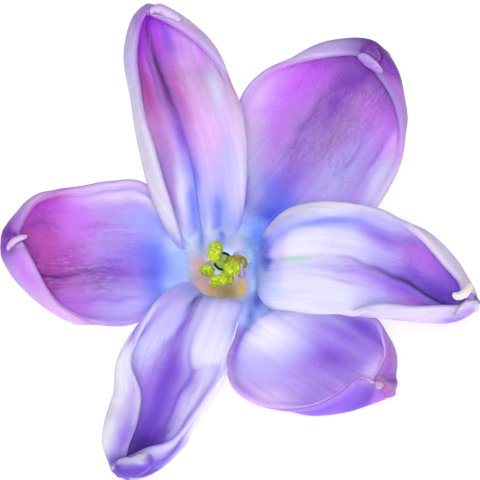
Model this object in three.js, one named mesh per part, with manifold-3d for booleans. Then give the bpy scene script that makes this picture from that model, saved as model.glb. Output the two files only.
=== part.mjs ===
// One floret of a hyacinth, picked and lying on its lower tepals and its stalk. Millimetres, +Z up.
import * as THREE from 'three';
import { mergeVertices } from 'three/addons/utils/BufferGeometryUtils.js';
import Module from 'manifold-3d';

const wasm = await Module();
wasm.setup();

// Driving dimensions, in mm and degrees.
const gridStep = 0.08; // the face is laid out on a grid of this step, seen from the front
const throatColumn = 222; // grid column of the throat's centre, counted from the left
const throatRow = 268; // grid row of the throat's centre, counted from the top
const tubeLean = 3; // the tube leans this far from square to the face
const recurve = 2.4; // how far a tepal falls back towards its tip, at 20 mm from the throat
const rimDepth = 3.0; // the tube's rim lies this far behind the face
const rimRadius = 3.3; // middle of the tube's wall at the rim
const rootDepth = 1.2; // how far each tepal's root is sunk in the tube's wall
const rootRadius = 2.72; // middle of the tube's wall there
const rootHalfAngle = 27; // half of a tepal's share of the rim
const midThickness = 0.95; // of a tepal at its midrib
const edgeThickness = 0.62; // of a tepal at its margin
const foldInset = 0.36; // guide points lie on the outside of a fold, the middle of the blade is this far in
const marginInset = 0.26;
const stationsAlong = 17; // rows of facets along a tepal
const shares = [0, 0.22, 0.44, 0.62, 0.74, 0.86, 1]; // of the way from the midrib to the margin
const foldShare = 0.7; // where the blade turns into its folded margin
const bladeEnd = 0.965; // share of the guide rows' length where the blade stops and the tip's bead takes over
const tubeSides = 36;
const ribHeight = 0.035; // share of the tube's radius
const antherHalfWidth = 0.58;
const filamentRadius = 0.3;
const stalkRadius = 0.85;
const restTurn = -17.12; // turns the face level
const restTip = 59.55; // then tips it back to lie on three low points

// Tube profile, from its flared mouth to its foot: distance behind the rim, outer radius, inner radius.
const tubeProfile = [
  [-1.4, 4.1, 3.35],
  [0, 3.7, 2.9],
  [1.0, 3.2, 2.4],
  [2.0, 2.75, 1.95],
  [3.2, 2.4, 1.62],
  [4.6, 2.22, 1.42],
  [7, 2.3, 1.5],
  [9, 2.8, 1.98],
  [10.8, 3.25, 2.4],
  [12.2, 3.2, 2.35],
  [13.2, 2.9, 1.9],
  [13.8, 2.45, 1.2],
  [14.4, 1.8, 0.4],
];
const tubeEnd = 14.9;
const tubeFloor = 13.7;

const tubeForward = new THREE.Vector3(
  0,
  -Math.sin(THREE.MathUtils.degToRad(tubeLean)),
  Math.cos(THREE.MathUtils.degToRad(tubeLean)),
);
const tubeRight = new THREE.Vector3(1, 0, 0);
const tubeUp = new THREE.Vector3().crossVectors(tubeForward, tubeRight);
const rimCentre = tubeForward.clone().multiplyScalar(-rimDepth / tubeForward.z);

function facePoint([column, row, height]) {
  const x = (column - throatColumn) * gridStep;
  const y = (throatRow - row) * gridStep;
  return new THREE.Vector3(x, y, height - recurve * (Math.hypot(x, y) / 20) ** 2.5);
}

// A point round the tube's axis: angle from the right, distance from the axis, distance in front of the rim.
function tubePoint(angle, radius, forward) {
  const a = THREE.MathUtils.degToRad(angle);
  return rimCentre
    .clone()
    .addScaledVector(tubeForward, forward)
    .addScaledVector(tubeRight, Math.cos(a) * radius)
    .addScaledVector(tubeUp, Math.sin(a) * radius);
}

// Each row crosses a tepal: left margin, left fold, midrib, right fold, right margin, from throat to tip.
// Left and right are those of someone who looks out along the tepal. Column, row, height in mm.
const tepals = {
  innerTop: {
    angle: 122,
    groove: 0.28,
    crown: 9,
    bead: 0.62,
    rows: [
      [[186, 242, -0.2], [178, 240, -0.8], [200, 222, -0.3], [224, 222, -0.6], [234, 231, -1.0]],
      [[171, 194, 2.0], [155, 197, 0.9], [196, 187, 0.9], [230, 193, 1.4], [243, 197, 1.2]],
      [[154, 147, 2.6], [137, 148, 1.3], [189, 150, 1.2], [235, 146, 2.1], [246, 143, 1.9]],
      [[142, 103, 2.7], [129, 105, 1.3], [175, 104, 1.1], [229, 102, 1.9], [238, 98, 1.9]],
      [[137, 62, 2.4], [124, 60, 1.0], [156, 64, 0.8], [219, 59, 1.4], [214, 60, 2.2]],
      [[138, 38, 2.1], [127, 32, 0.6], [150, 36, 0.3], [197, 31, 0.9], [189, 36, 2.1]],
      [[141, 21, 2.0], [134, 14, 0.5], [147, 13, 0.0], [170, 9, 0.8], [162, 19, 2.1]],
      [[145, 14, 2.0], [140, 8, 0.9], [147, 5, 0.5], [156, 6, 0.9], [151, 15, 2.1]],
      [[147, 12, 2.1], [145, 9, 1.6], [148, 8, 1.4], [151, 9, 1.6], [149, 12, 2.1]],
    ],
  },
  outerUpperRight: {
    angle: 62,
    groove: 0.12,
    crown: -4,
    bead: 0.82,
    rows: [
      [[236, 218, -1.7], [239, 219, -1.5], [250, 228, -1.2], [262, 241, -1.5], [265, 247, -1.7]],
      [[243, 190, -1.3], [247, 193, -1.5], [277, 208, -1.8], [286, 232, -1.6], [290, 240, -1.6]],
      [[238, 140, -0.8], [246, 146, -1.2], [303, 176, -2.1], [350, 218, -1.4], [356, 228, -1.2]],
      [[243, 97, -0.6], [252, 106, -1.3], [330, 137, -2.2], [374, 193, -1.5], [383, 202, -1.1]],
      [[277, 67, -0.1], [281, 73, -0.8], [355, 100, -2.0], [397, 151, -1.3], [405, 154, -0.7]],
      [[318, 58, 0.4], [316, 47, -0.4], [372, 76, -1.6], [408, 120, -0.8], [401, 117, 0.3]],
      [[346, 54, 0.8], [345, 39, -0.2], [384, 61, -1.0], [405, 92, -0.4], [388, 86, 0.9]],
      [[361, 55, 1.2], [366, 39, 0.3], [392, 52, -0.2], [400, 74, 0.2], [371, 66, 1.2]],
      [[366, 57, 1.3], [374, 44, 0.9], [386, 51, 0.8], [386, 62, 0.9], [369, 61, 1.3]],
    ],
  },
  innerRight: {
    angle: 2,
    groove: 0.25,
    crown: 2,
    bead: 0.62,
    rows: [
      [[262, 244, -0.6], [264, 249, -0.2], [268, 262, 0.2], [263, 276, -0.2], [260, 284, -0.6]],
      [[266, 229, 0.4], [273, 236, 1.3], [276, 261, 1.5], [266, 289, 1.3], [260, 297, 0.3]],
      [[284, 210, 1.0], [290, 222, 2.0], [292, 258, 2.1], [278, 300, 1.8], [272, 309, 0.9]],
      [[313, 202, 1.4], [316, 214, 2.1], [318, 257, 2.2], [308, 305, 1.8], [304, 313, 1.2]],
      [[352, 203, 1.8], [352, 209, 2.0], [350, 262, 1.9], [345, 313, 1.3], [343, 314, 1.6]],
      [[388, 211, 1.7], [386, 220, 1.7], [385, 272, 1.2], [382, 318, 0.8], [378, 304, 1.8]],
      [[419, 236, 1.7], [424, 230, 0.8], [415, 288, 0.6], [420, 322, 0.3], [418, 306, 1.7]],
      [[443, 264, 1.8], [453, 256, 0.5], [443, 304, 0.2], [450, 323, 0.1], [448, 306, 1.8]],
      [[459, 282, 1.9], [469, 280, 0.6], [464, 310, 0.1], [468, 318, 0.3], [463, 304, 1.9]],
      [[461, 291, 2.2], [474, 293, 1.1], [478, 303, 0.8], [477, 309, 1.0], [470, 301, 2.0]],
      [[463, 293, 2.3], [470, 293, 1.9], [474, 297, 1.8], [474, 300, 1.8], [468, 298, 2.2]],
    ],
  },
  outerLowerRight: {
    angle: -58,
    groove: 0.0,
    crown: -6,
    bead: 0.72,
    rows: [
      [[262, 285, -1.7], [260, 288, -1.5], [250, 300, -1.2], [240, 309, -1.5], [236, 312, -1.7]],
      [[300, 291, -1.4], [295, 293, -1.6], [272, 318, -1.9], [240, 335, -1.6], [235, 338, -1.3]],
      [[338, 302, -1.2], [332, 304, -1.5], [298, 338, -2.2], [239, 359, -1.6], [229, 363, -1.2]],
      [[364, 312, -0.9], [358, 317, -1.5], [322, 355, -2.2], [248, 383, -1.6], [239, 391, -1.1]],
      [[380, 321, -0.5], [374, 326, -1.2], [344, 367, -2.1], [275, 400, -1.5], [270, 408, -0.9]],
      [[384, 338, 0.3], [391, 342, -0.7], [362, 377, -1.8], [308, 415, -0.9], [311, 407, 0.3]],
      [[386, 354, 0.8], [397, 360, -0.5], [378, 384, -1.3], [343, 411, -0.5], [340, 392, 0.9]],
      [[380, 369, 1.1], [397, 374, 0.1], [389, 388, -0.6], [371, 402, 0.0], [354, 379, 1.3]],
      [[375, 378, 1.3], [396, 381, 0.8], [396, 387, 0.5], [388, 395, 0.7], [365, 380, 1.5]],
      [[374, 381, 1.5], [384, 382, 1.4], [386, 386, 1.3], [383, 388, 1.4], [370, 383, 1.6]],
    ],
  },
  innerLowerLeft: {
    angle: -118,
    groove: 0.22,
    crown: 6,
    bead: 0.66,
    rows: [
      [[226, 302, -0.8], [220, 302, -0.4], [201, 300, 0.2], [190, 290, -0.3], [184, 283, -0.8]],
      [[242, 304, 0.2], [232, 305, 1.0], [197, 306, 1.3], [178, 294, 1.2], [172, 288, 0.5]],
      [[238, 322, 1.2], [226, 323, 1.9], [190, 322, 1.7], [160, 302, 1.8], [152, 305, 1.9]],
      [[233, 340, 1.6], [221, 344, 2.2], [181, 345, 1.8], [142, 331, 1.6], [141, 335, 2.2]],
      [[221, 373, 2.2], [226, 370, 1.4], [172, 368, 1.5], [125, 362, 1.1], [133, 362, 2.2]],
      [[203, 401, 2.0], [213, 399, 0.9], [163, 393, 1.0], [114, 392, 0.7], [142, 391, 2.3]],
      [[184, 427, 1.8], [193, 426, 0.4], [151, 424, 0.3], [104, 424, 0.3], [139, 419, 2.1]],
      [[164, 443, 1.6], [183, 446, 0.1], [137, 452, -0.2], [102, 446, 0.1], [131, 441, 2.0]],
      [[147, 447, 1.7], [158, 469, 0.1], [124, 470, 0.0], [109, 463, 0.3], [127, 452, 2.0]],
      [[134, 453, 1.9], [135, 478, 0.8], [119, 474, 0.8], [112, 467, 0.9], [125, 456, 2.0]],
      [[128, 456, 2.1], [127, 468, 1.8], [120, 467, 1.7], [117, 463, 1.8], [124, 457, 2.1]],
    ],
  },
  outerLeft: {
    angle: -178,
    groove: 0.12,
    crown: -4,
    bead: 0.7,
    rows: [
      [[187, 292, -1.7], [185, 288, -1.5], [180, 271, -1.2], [178, 252, -1.5], [180, 247, -1.7]],
      [[160, 312, -1.3], [160, 306, -1.6], [158, 272, -1.8], [162, 222, -1.5], [162, 212, -1.2]],
      [[130, 325, -1.0], [131, 317, -1.5], [128, 270, -2.1], [140, 190, -1.5], [142, 181, -1.1]],
      [[100, 326, -0.7], [103, 320, -1.3], [98, 269, -2.2], [108, 189, -1.6], [108, 180, -1.1]],
      [[78, 317, 0.1], [74, 324, -1.1], [72, 273, -2.1], [80, 194, -1.5], [80, 185, -0.9]],
      [[58, 304, 0.6], [46, 309, -0.9], [50, 275, -1.8], [55, 192, -1.0], [56, 191, -0.2]],
      [[45, 285, 1.0], [26, 292, -0.7], [32, 270, -1.5], [37, 194, -0.4], [36, 201, 0.5]],
      [[34, 262, 1.2], [10, 273, -0.3], [15, 258, -0.9], [20, 209, -0.1], [26, 214, 0.9]],
      [[26, 247, 1.4], [4, 257, 0.3], [4, 248, 0.0], [6, 228, 0.3], [20, 229, 1.3]],
      [[22, 241, 1.5], [11, 246, 1.1], [9, 242, 1.0], [11, 235, 1.1], [19, 235, 1.5]],
    ],
  },
};

// Stamens: named for the tepal each stands before, where its filament leaves the wall, the ends of its anther.
const stamens = [
  { name: 'inner_top', wallAngle: 122, back: [216, 243, -3.0], front: [213, 260, -1.5] },
  { name: 'outer_upper_right', wallAngle: 30, back: [238, 260, -3.6], front: [222, 262, -3.0] },
  { name: 'inner_right', wallAngle: -24, back: [241, 269, -1.4], front: [225, 271, -0.8] },
  { name: 'outer_lower_right', wallAngle: -66, back: [226, 277, -4.4], front: [227, 280, -3.0] },
  { name: 'inner_lower_left', wallAngle: -120, back: [213, 283, -2.7], front: [229, 281, -1.7] },
  { name: 'outer_left', wallAngle: -175, back: [206, 271, -4.2], front: [208, 270, -2.3] },
];

// Closed body through rings of points, each end closed to the middle of its last ring.
function ringBody(rings) {
  const sides = rings[0].length;
  const positions = [];
  const index = [];
  rings.forEach((ring) => ring.forEach((p) => positions.push(p.x, p.y, p.z)));
  for (let i = 0; i + 1 < rings.length; i++) {
    for (let j = 0; j < sides; j++) {
      const a = i * sides + j;
      const b = i * sides + ((j + 1) % sides);
      index.push(a, b, b + sides, a, b + sides, a + sides);
    }
  }
  const centres = [rings[0], rings[rings.length - 1]].map((ring) => {
    const middle = ring.reduce((sum, p) => sum.add(p), new THREE.Vector3()).divideScalar(sides);
    positions.push(middle.x, middle.y, middle.z);
    return positions.length / 3 - 1;
  });
  for (let j = 0; j < sides; j++) {
    const k = (j + 1) % sides;
    const last = (rings.length - 1) * sides;
    index.push(centres[0], k, j);
    index.push(centres[1], last + j, last + k);
  }
  const geometry = new THREE.BufferGeometry();
  geometry.setAttribute('position', new THREE.Float32BufferAttribute(positions, 3));
  geometry.setIndex(index);
  return geometry;
}

// Smooth curve through three-part points at the given places.
function hermite(p0, m0, p1, m1, s) {
  const a = (1 + 2 * s) * (1 - s) * (1 - s);
  const b = s * (1 - s) * (1 - s);
  const c = s * s * (3 - 2 * s);
  const d = s * s * (s - 1);
  return new THREE.Vector3()
    .addScaledVector(p0, a)
    .addScaledVector(m0, b)
    .addScaledVector(p1, c)
    .addScaledVector(m1, d);
}

function readCurve(points, places, at) {
  let i = 0;
  while (i < places.length - 2 && at > places[i + 1]) i++;
  const step = (k) => places[k + 1] - places[k];
  const slope = (k) => points[k + 1].clone().sub(points[k]).divideScalar(step(k));
  const tangent = (k) => {
    if (k === 0) return slope(0).multiplyScalar(1.5).addScaledVector(innerTangent(1), -0.5);
    if (k === points.length - 1) {
      return slope(k - 1).multiplyScalar(1.5).addScaledVector(innerTangent(k - 1), -0.5);
    }
    return innerTangent(k);
  };
  const innerTangent = (k) =>
    slope(k - 1)
      .multiplyScalar(step(k))
      .addScaledVector(slope(k), step(k - 1))
      .divideScalar(step(k) + step(k - 1));
  const h = step(i);
  const s = (at - places[i]) / h;
  return hermite(points[i], tangent(i).multiplyScalar(h), points[i + 1], tangent(i + 1).multiplyScalar(h), s);
}

function ramp(knots, at) {
  let i = 0;
  while (i < knots.length - 2 && at > knots[i + 1][0]) i++;
  const s = THREE.MathUtils.clamp((at - knots[i][0]) / (knots[i + 1][0] - knots[i][0]), 0, 1);
  return THREE.MathUtils.lerp(knots[i][1], knots[i + 1][1], s * s * (3 - 2 * s));
}

// Middle of the blade as a grid of points: stations from root to tip, each from left margin to right margin.
function bladeGrid(tepal) {
  const rootRow = (radius, forward) =>
    [1, foldShare, 0, -foldShare, -1].map((share) =>
      tubePoint(tepal.angle + share * rootHalfAngle, radius, forward),
    );
  const guides = tepal.rows.map((row) => row.map(facePoint));
  const rows = [rootRow(rootRadius, -rootDepth), rootRow(rimRadius, 0), ...guides];
  const middle = (row) =>
    row
      .reduce((sum, p) => sum.add(p), new THREE.Vector3())
      .add(row[2])
      .divideScalar(6);
  const places = [0];
  for (let i = 1; i < rows.length; i++) {
    const stride =
      0.5 * rows[i][2].distanceTo(rows[i - 1][2]) + 0.5 * middle(rows[i]).distanceTo(middle(rows[i - 1]));
    places.push(places[i - 1] + Math.sqrt(stride));
  }
  const columns = [0, 1, 2, 3, 4].map((c) => rows.map((row) => row[c]));
  const readRow = (at) => columns.map((column) => readCurve(column, places, at));
  const full = places[places.length - 1];

  // Stations stand evenly along the blade, closer together towards the tip.
  const lengths = [0];
  const fine = 240;
  let before = readRow(0);
  for (let k = 1; k <= fine; k++) {
    const row = readRow((full * k) / fine);
    const stride = 0.5 * row[2].distanceTo(before[2]) + 0.5 * middle(row).distanceTo(middle(before));
    lengths.push(lengths[k - 1] + stride);
    before = row;
  }
  const grid = [];
  for (let i = 0; i <= stationsAlong; i++) {
    const share = i / stationsAlong;
    const u = bladeEnd * share * (1.18 - 0.18 * share);
    const wanted = u * lengths[fine];
    let k = 0;
    while (k < fine - 1 && lengths[k + 1] < wanted) k++;
    const at = (full * (k + (wanted - lengths[k]) / (lengths[k + 1] - lengths[k]))) / fine;
    grid.push(bladeRow(tepal, u, readRow, at, full));
  }
  return grid;
}

function bladeRow(tepal, u, readRow, at, full) {
  const row = readRow(at);
  const nudge = full * 0.002;
  const out = readRow(Math.min(at + nudge, full))[2].sub(readRow(Math.max(at - nudge, 0))[2]).normalize();
  const midrib = row[2];
  const settle = THREE.MathUtils.clamp(u / 0.15, 0, 1);
  const lift = THREE.MathUtils.degToRad(ramp([[0, 0], [0.3, tepal.crown], [1, -6]], u));
  const grooveHere = tepal.groove * ramp([[0, 0], [0.25, 0.8], [0.55, 1], [0.9, 0.6], [1, 0]], u);
  const half = (foldColumn, marginColumn, sign) => {
    const fold = row[foldColumn].clone();
    fold.addScaledVector(fold.clone().sub(midrib).normalize(), -foldInset * settle);
    const margin = row[marginColumn].clone();
    margin.addScaledVector(fold.clone().sub(margin).normalize(), marginInset * settle);
    const chord = fold.clone().sub(midrib);
    const reach = chord.length();
    const chordWay = chord.clone().normalize();
    const edge = margin.clone().sub(fold);
    const edgeReach = edge.length();
    const edgeWay = edge.clone().normalize();
    const across = chord.clone().addScaledVector(out, -chord.dot(out)).normalize();
    const face = new THREE.Vector3().crossVectors(out, across).multiplyScalar(sign).normalize();
    const leave = chordWay.clone().multiplyScalar(Math.cos(lift)).addScaledVector(face, Math.sin(lift)).normalize();
    const turned = (1 + THREE.MathUtils.clamp(-edgeWay.dot(chordWay), -1, 1)) / 2;
    const upright = face.clone().addScaledVector(chordWay, -face.dot(chordWay)).normalize();
    const round = margin
      .clone()
      .sub(midrib)
      .normalize()
      .multiplyScalar(1 - turned)
      .addScaledVector(upright, 1.2 * turned)
      .normalize();
    return shares.map((share) => {
      if (share <= foldShare) {
        const s = share / foldShare;
        const p = hermite(
          midrib,
          leave.clone().multiplyScalar(reach),
          fold,
          round.clone().multiplyScalar(reach * 0.8),
          s,
        );
        return p.addScaledVector(face, -grooveHere * Math.exp(-((share / 0.1) ** 2)));
      }
      const s = (share - foldShare) / (1 - foldShare);
      return hermite(fold, round.clone().multiplyScalar(edgeReach * 1.2), margin, edge, s);
    });
  };
  const left = half(1, 0, 1);
  const right = half(3, 4, -1);
  return [...left.reverse(), ...right.slice(1)];
}

// Gives the blade its thickness and closes it.
function bladeGeometry(tepal) {
  const grid = bladeGrid(tepal);
  const last = grid.length - 1;
  const wide = grid[0].length - 1;
  const columns = wide + 1;
  const clampTo = (value, top) => Math.min(Math.max(value, 0), top);
  const normalAt = (i, j) => {
    const along = grid[clampTo(i + 1, last)][j].clone().sub(grid[clampTo(i - 1, last)][j]);
    const across = grid[i][clampTo(j + 1, wide)].clone().sub(grid[i][clampTo(j - 1, wide)]);
    return new THREE.Vector3().crossVectors(across, along).normalize();
  };
  const inner = [];
  const outer = [];
  for (let i = 0; i <= last; i++) {
    for (let j = 0; j <= wide; j++) {
      const share = shares[Math.abs(j - wide / 2)];
      const rootThin = i === 0 ? 0.8 : 1;
      const half = 0.5 * rootThin * (edgeThickness + (midThickness - edgeThickness) * (1 - share ** 1.5));
      const normal = normalAt(i, j);
      inner.push(grid[i][j].clone().addScaledVector(normal, half));
      outer.push(grid[i][j].clone().addScaledVector(normal, -half));
    }
  }
  const top = (i, j) => i * columns + j;
  const under = (i, j) => (last + 1) * columns + i * columns + j;
  const index = [];
  const quad = (a, b, c, d) => index.push(a, b, c, a, c, d);
  for (let i = 0; i < last; i++) {
    for (let j = 0; j < wide; j++) {
      quad(top(i, j), top(i, j + 1), top(i + 1, j + 1), top(i + 1, j));
      index.push(under(i, j), under(i + 1, j + 1), under(i, j + 1));
      index.push(under(i, j), under(i + 1, j), under(i + 1, j + 1));
    }
    quad(top(i, 0), top(i + 1, 0), under(i + 1, 0), under(i, 0));
    quad(top(i + 1, wide), top(i, wide), under(i, wide), under(i + 1, wide));
  }
  for (let j = 0; j < wide; j++) {
    quad(top(0, j + 1), top(0, j), under(0, j), under(0, j + 1));
    quad(top(last, j), top(last, j + 1), under(last, j + 1), under(last, j));
  }
  const geometry = new THREE.BufferGeometry();
  geometry.setAttribute(
    'position',
    new THREE.Float32BufferAttribute([...inner, ...outer].flatMap((p) => [p.x, p.y, p.z]), 3),
  );
  geometry.setIndex(index);
  return geometry;
}

// The small thick bead that closes a tepal's hooded tip.
function beadGeometry(tepal) {
  const centre = new THREE.Vector3();
  tepal.rows[tepal.rows.length - 1].forEach((guide) => centre.addScaledVector(facePoint(guide), 0.2));
  return welded(new THREE.SphereGeometry(tepal.bead, 10, 7).translate(centre.x, centre.y, centre.z));
}

function welded(geometry) {
  geometry.deleteAttribute('normal');
  geometry.deleteAttribute('uv');
  return mergeVertices(geometry, 1e-4);
}

function tubeGeometry() {
  const ring = (radius, behind, ribbed) => {
    const points = [];
    for (let j = 0; j < tubeSides; j++) {
      const angle = (360 * j) / tubeSides;
      const rib = 1 + ribbed * ribHeight * Math.cos(THREE.MathUtils.degToRad(6 * (angle - 2)));
      points.push(tubePoint(angle, radius * rib, -behind));
    }
    return points;
  };
  const outside = tubeProfile.map(([behind, outer]) => ring(outer, behind, behind <= 0 ? 0.3 : 1));
  const inside = tubeProfile.slice(0, -1).map(([behind, , inner]) => ring(inner, Math.min(behind, tubeFloor), 0));
  const end = ring(1.1, tubeEnd, 0.5);
  return ringBody([end, ...outside.reverse(), ...inside]);
}

// Round rod along points, its radius given at each one.
function rod(points, radii, sides, lobes = () => 1) {
  const curve = new THREE.CatmullRomCurve3(points);
  const frames = curve.computeFrenetFrames(radii.length - 1, false);
  const rings = radii.map((radius, i) => {
    const middle = curve.getPointAt(i / (radii.length - 1));
    const ring = [];
    for (let j = 0; j < sides; j++) {
      const a = (2 * Math.PI * j) / sides;
      const reach = radius * lobes(a);
      ring.push(
        middle
          .clone()
          .addScaledVector(frames.normals[i], Math.cos(a) * reach)
          .addScaledVector(frames.binormals[i], Math.sin(a) * reach),
      );
    }
    return ring;
  });
  return ringBody(rings);
}

function toSolid(geometry) {
  return new wasm.Manifold(
    new wasm.Mesh({
      numProp: 3,
      vertProperties: new Float32Array(geometry.attributes.position.array),
      triVerts: new Uint32Array(geometry.index.array),
    }),
  );
}

function toGeometry(solid) {
  const mesh = solid.getMesh();
  const positions = [];
  for (let i = 0; i < mesh.vertProperties.length; i += mesh.numProp) {
    positions.push(mesh.vertProperties[i], mesh.vertProperties[i + 1], mesh.vertProperties[i + 2]);
  }
  const geometry = new THREE.BufferGeometry();
  geometry.setAttribute('position', new THREE.Float32BufferAttribute(positions, 3));
  geometry.setIndex(Array.from(mesh.triVerts));
  return geometry;
}

function perianthGeometry() {
  let whole = toSolid(tubeGeometry());
  for (const tepal of Object.values(tepals)) {
    for (const piece of [bladeGeometry(tepal), beadGeometry(tepal)]) {
      whole = whole.add(toSolid(piece));
    }
  }
  // Pinholes that the joins seal inside are filled, by keeping the outer skin alone.
  const skins = whole.decompose().sort((a, b) => b.volume() - a.volume());
  return toGeometry(toSolid(toGeometry(skins[0])).simplify(0.012));
}

// Inner radius of the tube at a distance behind its rim.
function wallRadius(behind) {
  let i = 0;
  while (i < tubeProfile.length - 2 && behind > tubeProfile[i + 1][0]) i++;
  const [low, , lowRadius] = tubeProfile[i];
  const [high, , highRadius] = tubeProfile[i + 1];
  const share = THREE.MathUtils.clamp((behind - low) / (high - low), 0, 1);
  return THREE.MathUtils.lerp(lowRadius, highRadius, share);
}

function filamentPoints({ wallAngle, back, front }) {
  const antherBack = facePoint(back);
  const away = antherBack.clone().sub(facePoint(front)).normalize();
  const joint = antherBack.clone().addScaledVector(away, 0.46);
  const behind = joint.clone().sub(rimCentre).dot(tubeForward);
  return [
    tubePoint(wallAngle, wallRadius(1.9 - behind) - 0.6, behind - 1.9),
    tubePoint(wallAngle, wallRadius(0.95 - behind) - 0.62, behind - 0.95),
    joint,
  ];
}

function antherGeometry({ back, front }) {
  const radii = [0.28, 0.5, 0.58, 0.55, 0.58, 0.5, 0.28].map((r) => (r * antherHalfWidth) / 0.58);
  const twoLobes = (a) => 0.8 + 0.2 * Math.abs(Math.cos(a));
  const from = facePoint(back);
  const to = facePoint(front);
  return rod([from, from.clone().lerp(to, 0.5), to], radii, 10, twoLobes);
}

// Three-celled ovary at the tube's foot, with its style and stigma, from the foot to the tip.
function pistilGeometry() {
  const outline = [[0, 13.2], [0.9, 13.2], [1.5, 12.6], [1.85, 11.6], [1.75, 10.6], [1.1, 9.8], [0.5, 9.3],
    [0.38, 7.6], [0.36, 6.2], [0.55, 5.7], [0.5, 5.3], [0, 5.1]];
  const geometry = welded(new THREE.LatheGeometry(outline.map(([r, d]) => new THREE.Vector2(r, -d)), 15));
  const turn = new THREE.Matrix4().makeBasis(tubeRight, tubeForward, tubeUp.clone().negate());
  geometry.applyMatrix4(turn);
  return geometry.translate(rimCentre.x, rimCentre.y, rimCentre.z);
}

const petalFinish = new THREE.MeshStandardMaterial({ color: 0xa982dc, roughness: 0.5, metalness: 0 });
const antherFinish = new THREE.MeshStandardMaterial({ color: 0xa9c51c, roughness: 0.7, metalness: 0 });
const filamentFinish = new THREE.MeshStandardMaterial({ color: 0xd9d3c0, roughness: 0.5, metalness: 0 });
const pistilFinish = new THREE.MeshStandardMaterial({ color: 0x6f8a3c, roughness: 0.5, metalness: 0 });
const stalkFinish = new THREE.MeshStandardMaterial({ color: 0x8a8f5c, roughness: 0.5, metalness: 0 });

const face = new THREE.Group();
function place(name, geometry, finish) {
  const mesh = new THREE.Mesh(geometry, finish);
  mesh.name = name;
  face.add(mesh);
}

place('perianth', perianthGeometry(), petalFinish);
for (const stamen of stamens) {
  const steps = [1, 1, 1, 1, 1, 0.9, 0.8].map((share) => share * filamentRadius);
  place(`filament_${stamen.name}`, rod(filamentPoints(stamen), steps, 8), filamentFinish.clone());
  place(`anther_${stamen.name}`, antherGeometry(stamen), antherFinish.clone());
}
place('pistil', pistilGeometry(), pistilFinish);

// The stalk that held the floret to its spike, bent aside and cut off.
const stalkStart = rimCentre.clone().addScaledVector(tubeForward, -(tubeEnd + 0.5));
const stalkWay = new THREE.Vector3(0.35, -0.3, -0.9).normalize();
const stalkPoints = [
  stalkStart,
  stalkStart.clone().addScaledVector(tubeForward, -1.5).addScaledVector(stalkWay, 0.6),
  stalkStart.clone().addScaledVector(tubeForward, -1.5).addScaledVector(stalkWay, 4.4),
];
place('stalk', rod(stalkPoints, [1.0, 0.85, 0.82, 0.82, 0.84, 0.88].map((r) => (r * stalkRadius) / 0.85), 12), stalkFinish);

// Laid down: turned level, tipped back, and set with the middle of its footprint at the origin.
face.quaternion
  .setFromAxisAngle(new THREE.Vector3(1, 0, 0), THREE.MathUtils.degToRad(restTip))
  .multiply(
    new THREE.Quaternion().setFromAxisAngle(new THREE.Vector3(0, 0, 1), THREE.MathUtils.degToRad(restTurn)),
  );
const floret = new THREE.Group();
floret.name = 'hyacinth_floret';
floret.add(face);
floret.updateMatrixWorld(true);
const box = new THREE.Box3().setFromObject(floret, true);
face.position.set(-(box.min.x + box.max.x) / 2, -(box.min.y + box.max.y) / 2, -box.min.z);

export default floret;
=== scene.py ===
import math
from functools import partial

import bpy
import numpy as np
from mathutils import Matrix, Vector, noise


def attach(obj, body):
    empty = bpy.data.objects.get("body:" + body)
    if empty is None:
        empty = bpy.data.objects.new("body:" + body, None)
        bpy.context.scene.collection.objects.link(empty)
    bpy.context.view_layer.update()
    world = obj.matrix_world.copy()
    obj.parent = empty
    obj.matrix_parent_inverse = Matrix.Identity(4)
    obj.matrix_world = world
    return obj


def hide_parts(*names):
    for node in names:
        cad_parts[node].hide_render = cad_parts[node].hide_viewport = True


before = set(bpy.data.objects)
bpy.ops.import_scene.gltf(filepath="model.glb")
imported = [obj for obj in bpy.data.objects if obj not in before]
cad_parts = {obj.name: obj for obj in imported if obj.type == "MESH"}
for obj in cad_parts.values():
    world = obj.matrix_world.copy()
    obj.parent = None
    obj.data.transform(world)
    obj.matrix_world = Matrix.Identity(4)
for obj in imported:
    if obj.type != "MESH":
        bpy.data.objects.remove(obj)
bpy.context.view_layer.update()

mm = 0.001  # everything below is laid out in millimetres and becomes metres here

# The face is laid out as it is seen from the front, on a grid of columns and rows, then laid down.
layout = {
    "gridStep": 0.08,  # mm for one column or row
    "throatColumn": 222,
    "throatRow": 268,
    "recurve": 2.4,  # mm that a tepal falls back by recurveAt mm out from the throat
    "recurveAt": 20,
    "recurvePower": 2.5,
    "tubeLean": 3.0,  # degrees
    "rimDepth": 3.0,  # mm that the tube's rim lies behind the face
    "rimRadius": 3.3,
    "rootDepth": 1.2,  # mm behind the rim, where the tepals leave the tube
    "rootRadius": 2.72,
    "restTurn": -17.12,  # degrees, turns the face level
    "restTip": 59.55,  # degrees, tips it back on its three low points
    "restPlace": (-1.2361, -6.8402, 13.2085),
}
leanAngle = math.radians(layout["tubeLean"])
tubeForward = np.array([0.0, -math.sin(leanAngle), math.cos(leanAngle)])
tubeRight = np.array([1.0, 0.0, 0.0])
tubeUp = np.cross(tubeForward, tubeRight)
rimCentre = tubeForward * (-layout["rimDepth"] / tubeForward[2])
restMatrix = (
    Matrix.Translation(Vector(layout["restPlace"]) * mm)
    @ Matrix.Rotation(math.radians(layout["restTip"]), 4, "X")
    @ Matrix.Rotation(math.radians(layout["restTurn"]), 4, "Z")
    @ Matrix.Scale(mm, 4)
)

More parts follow.
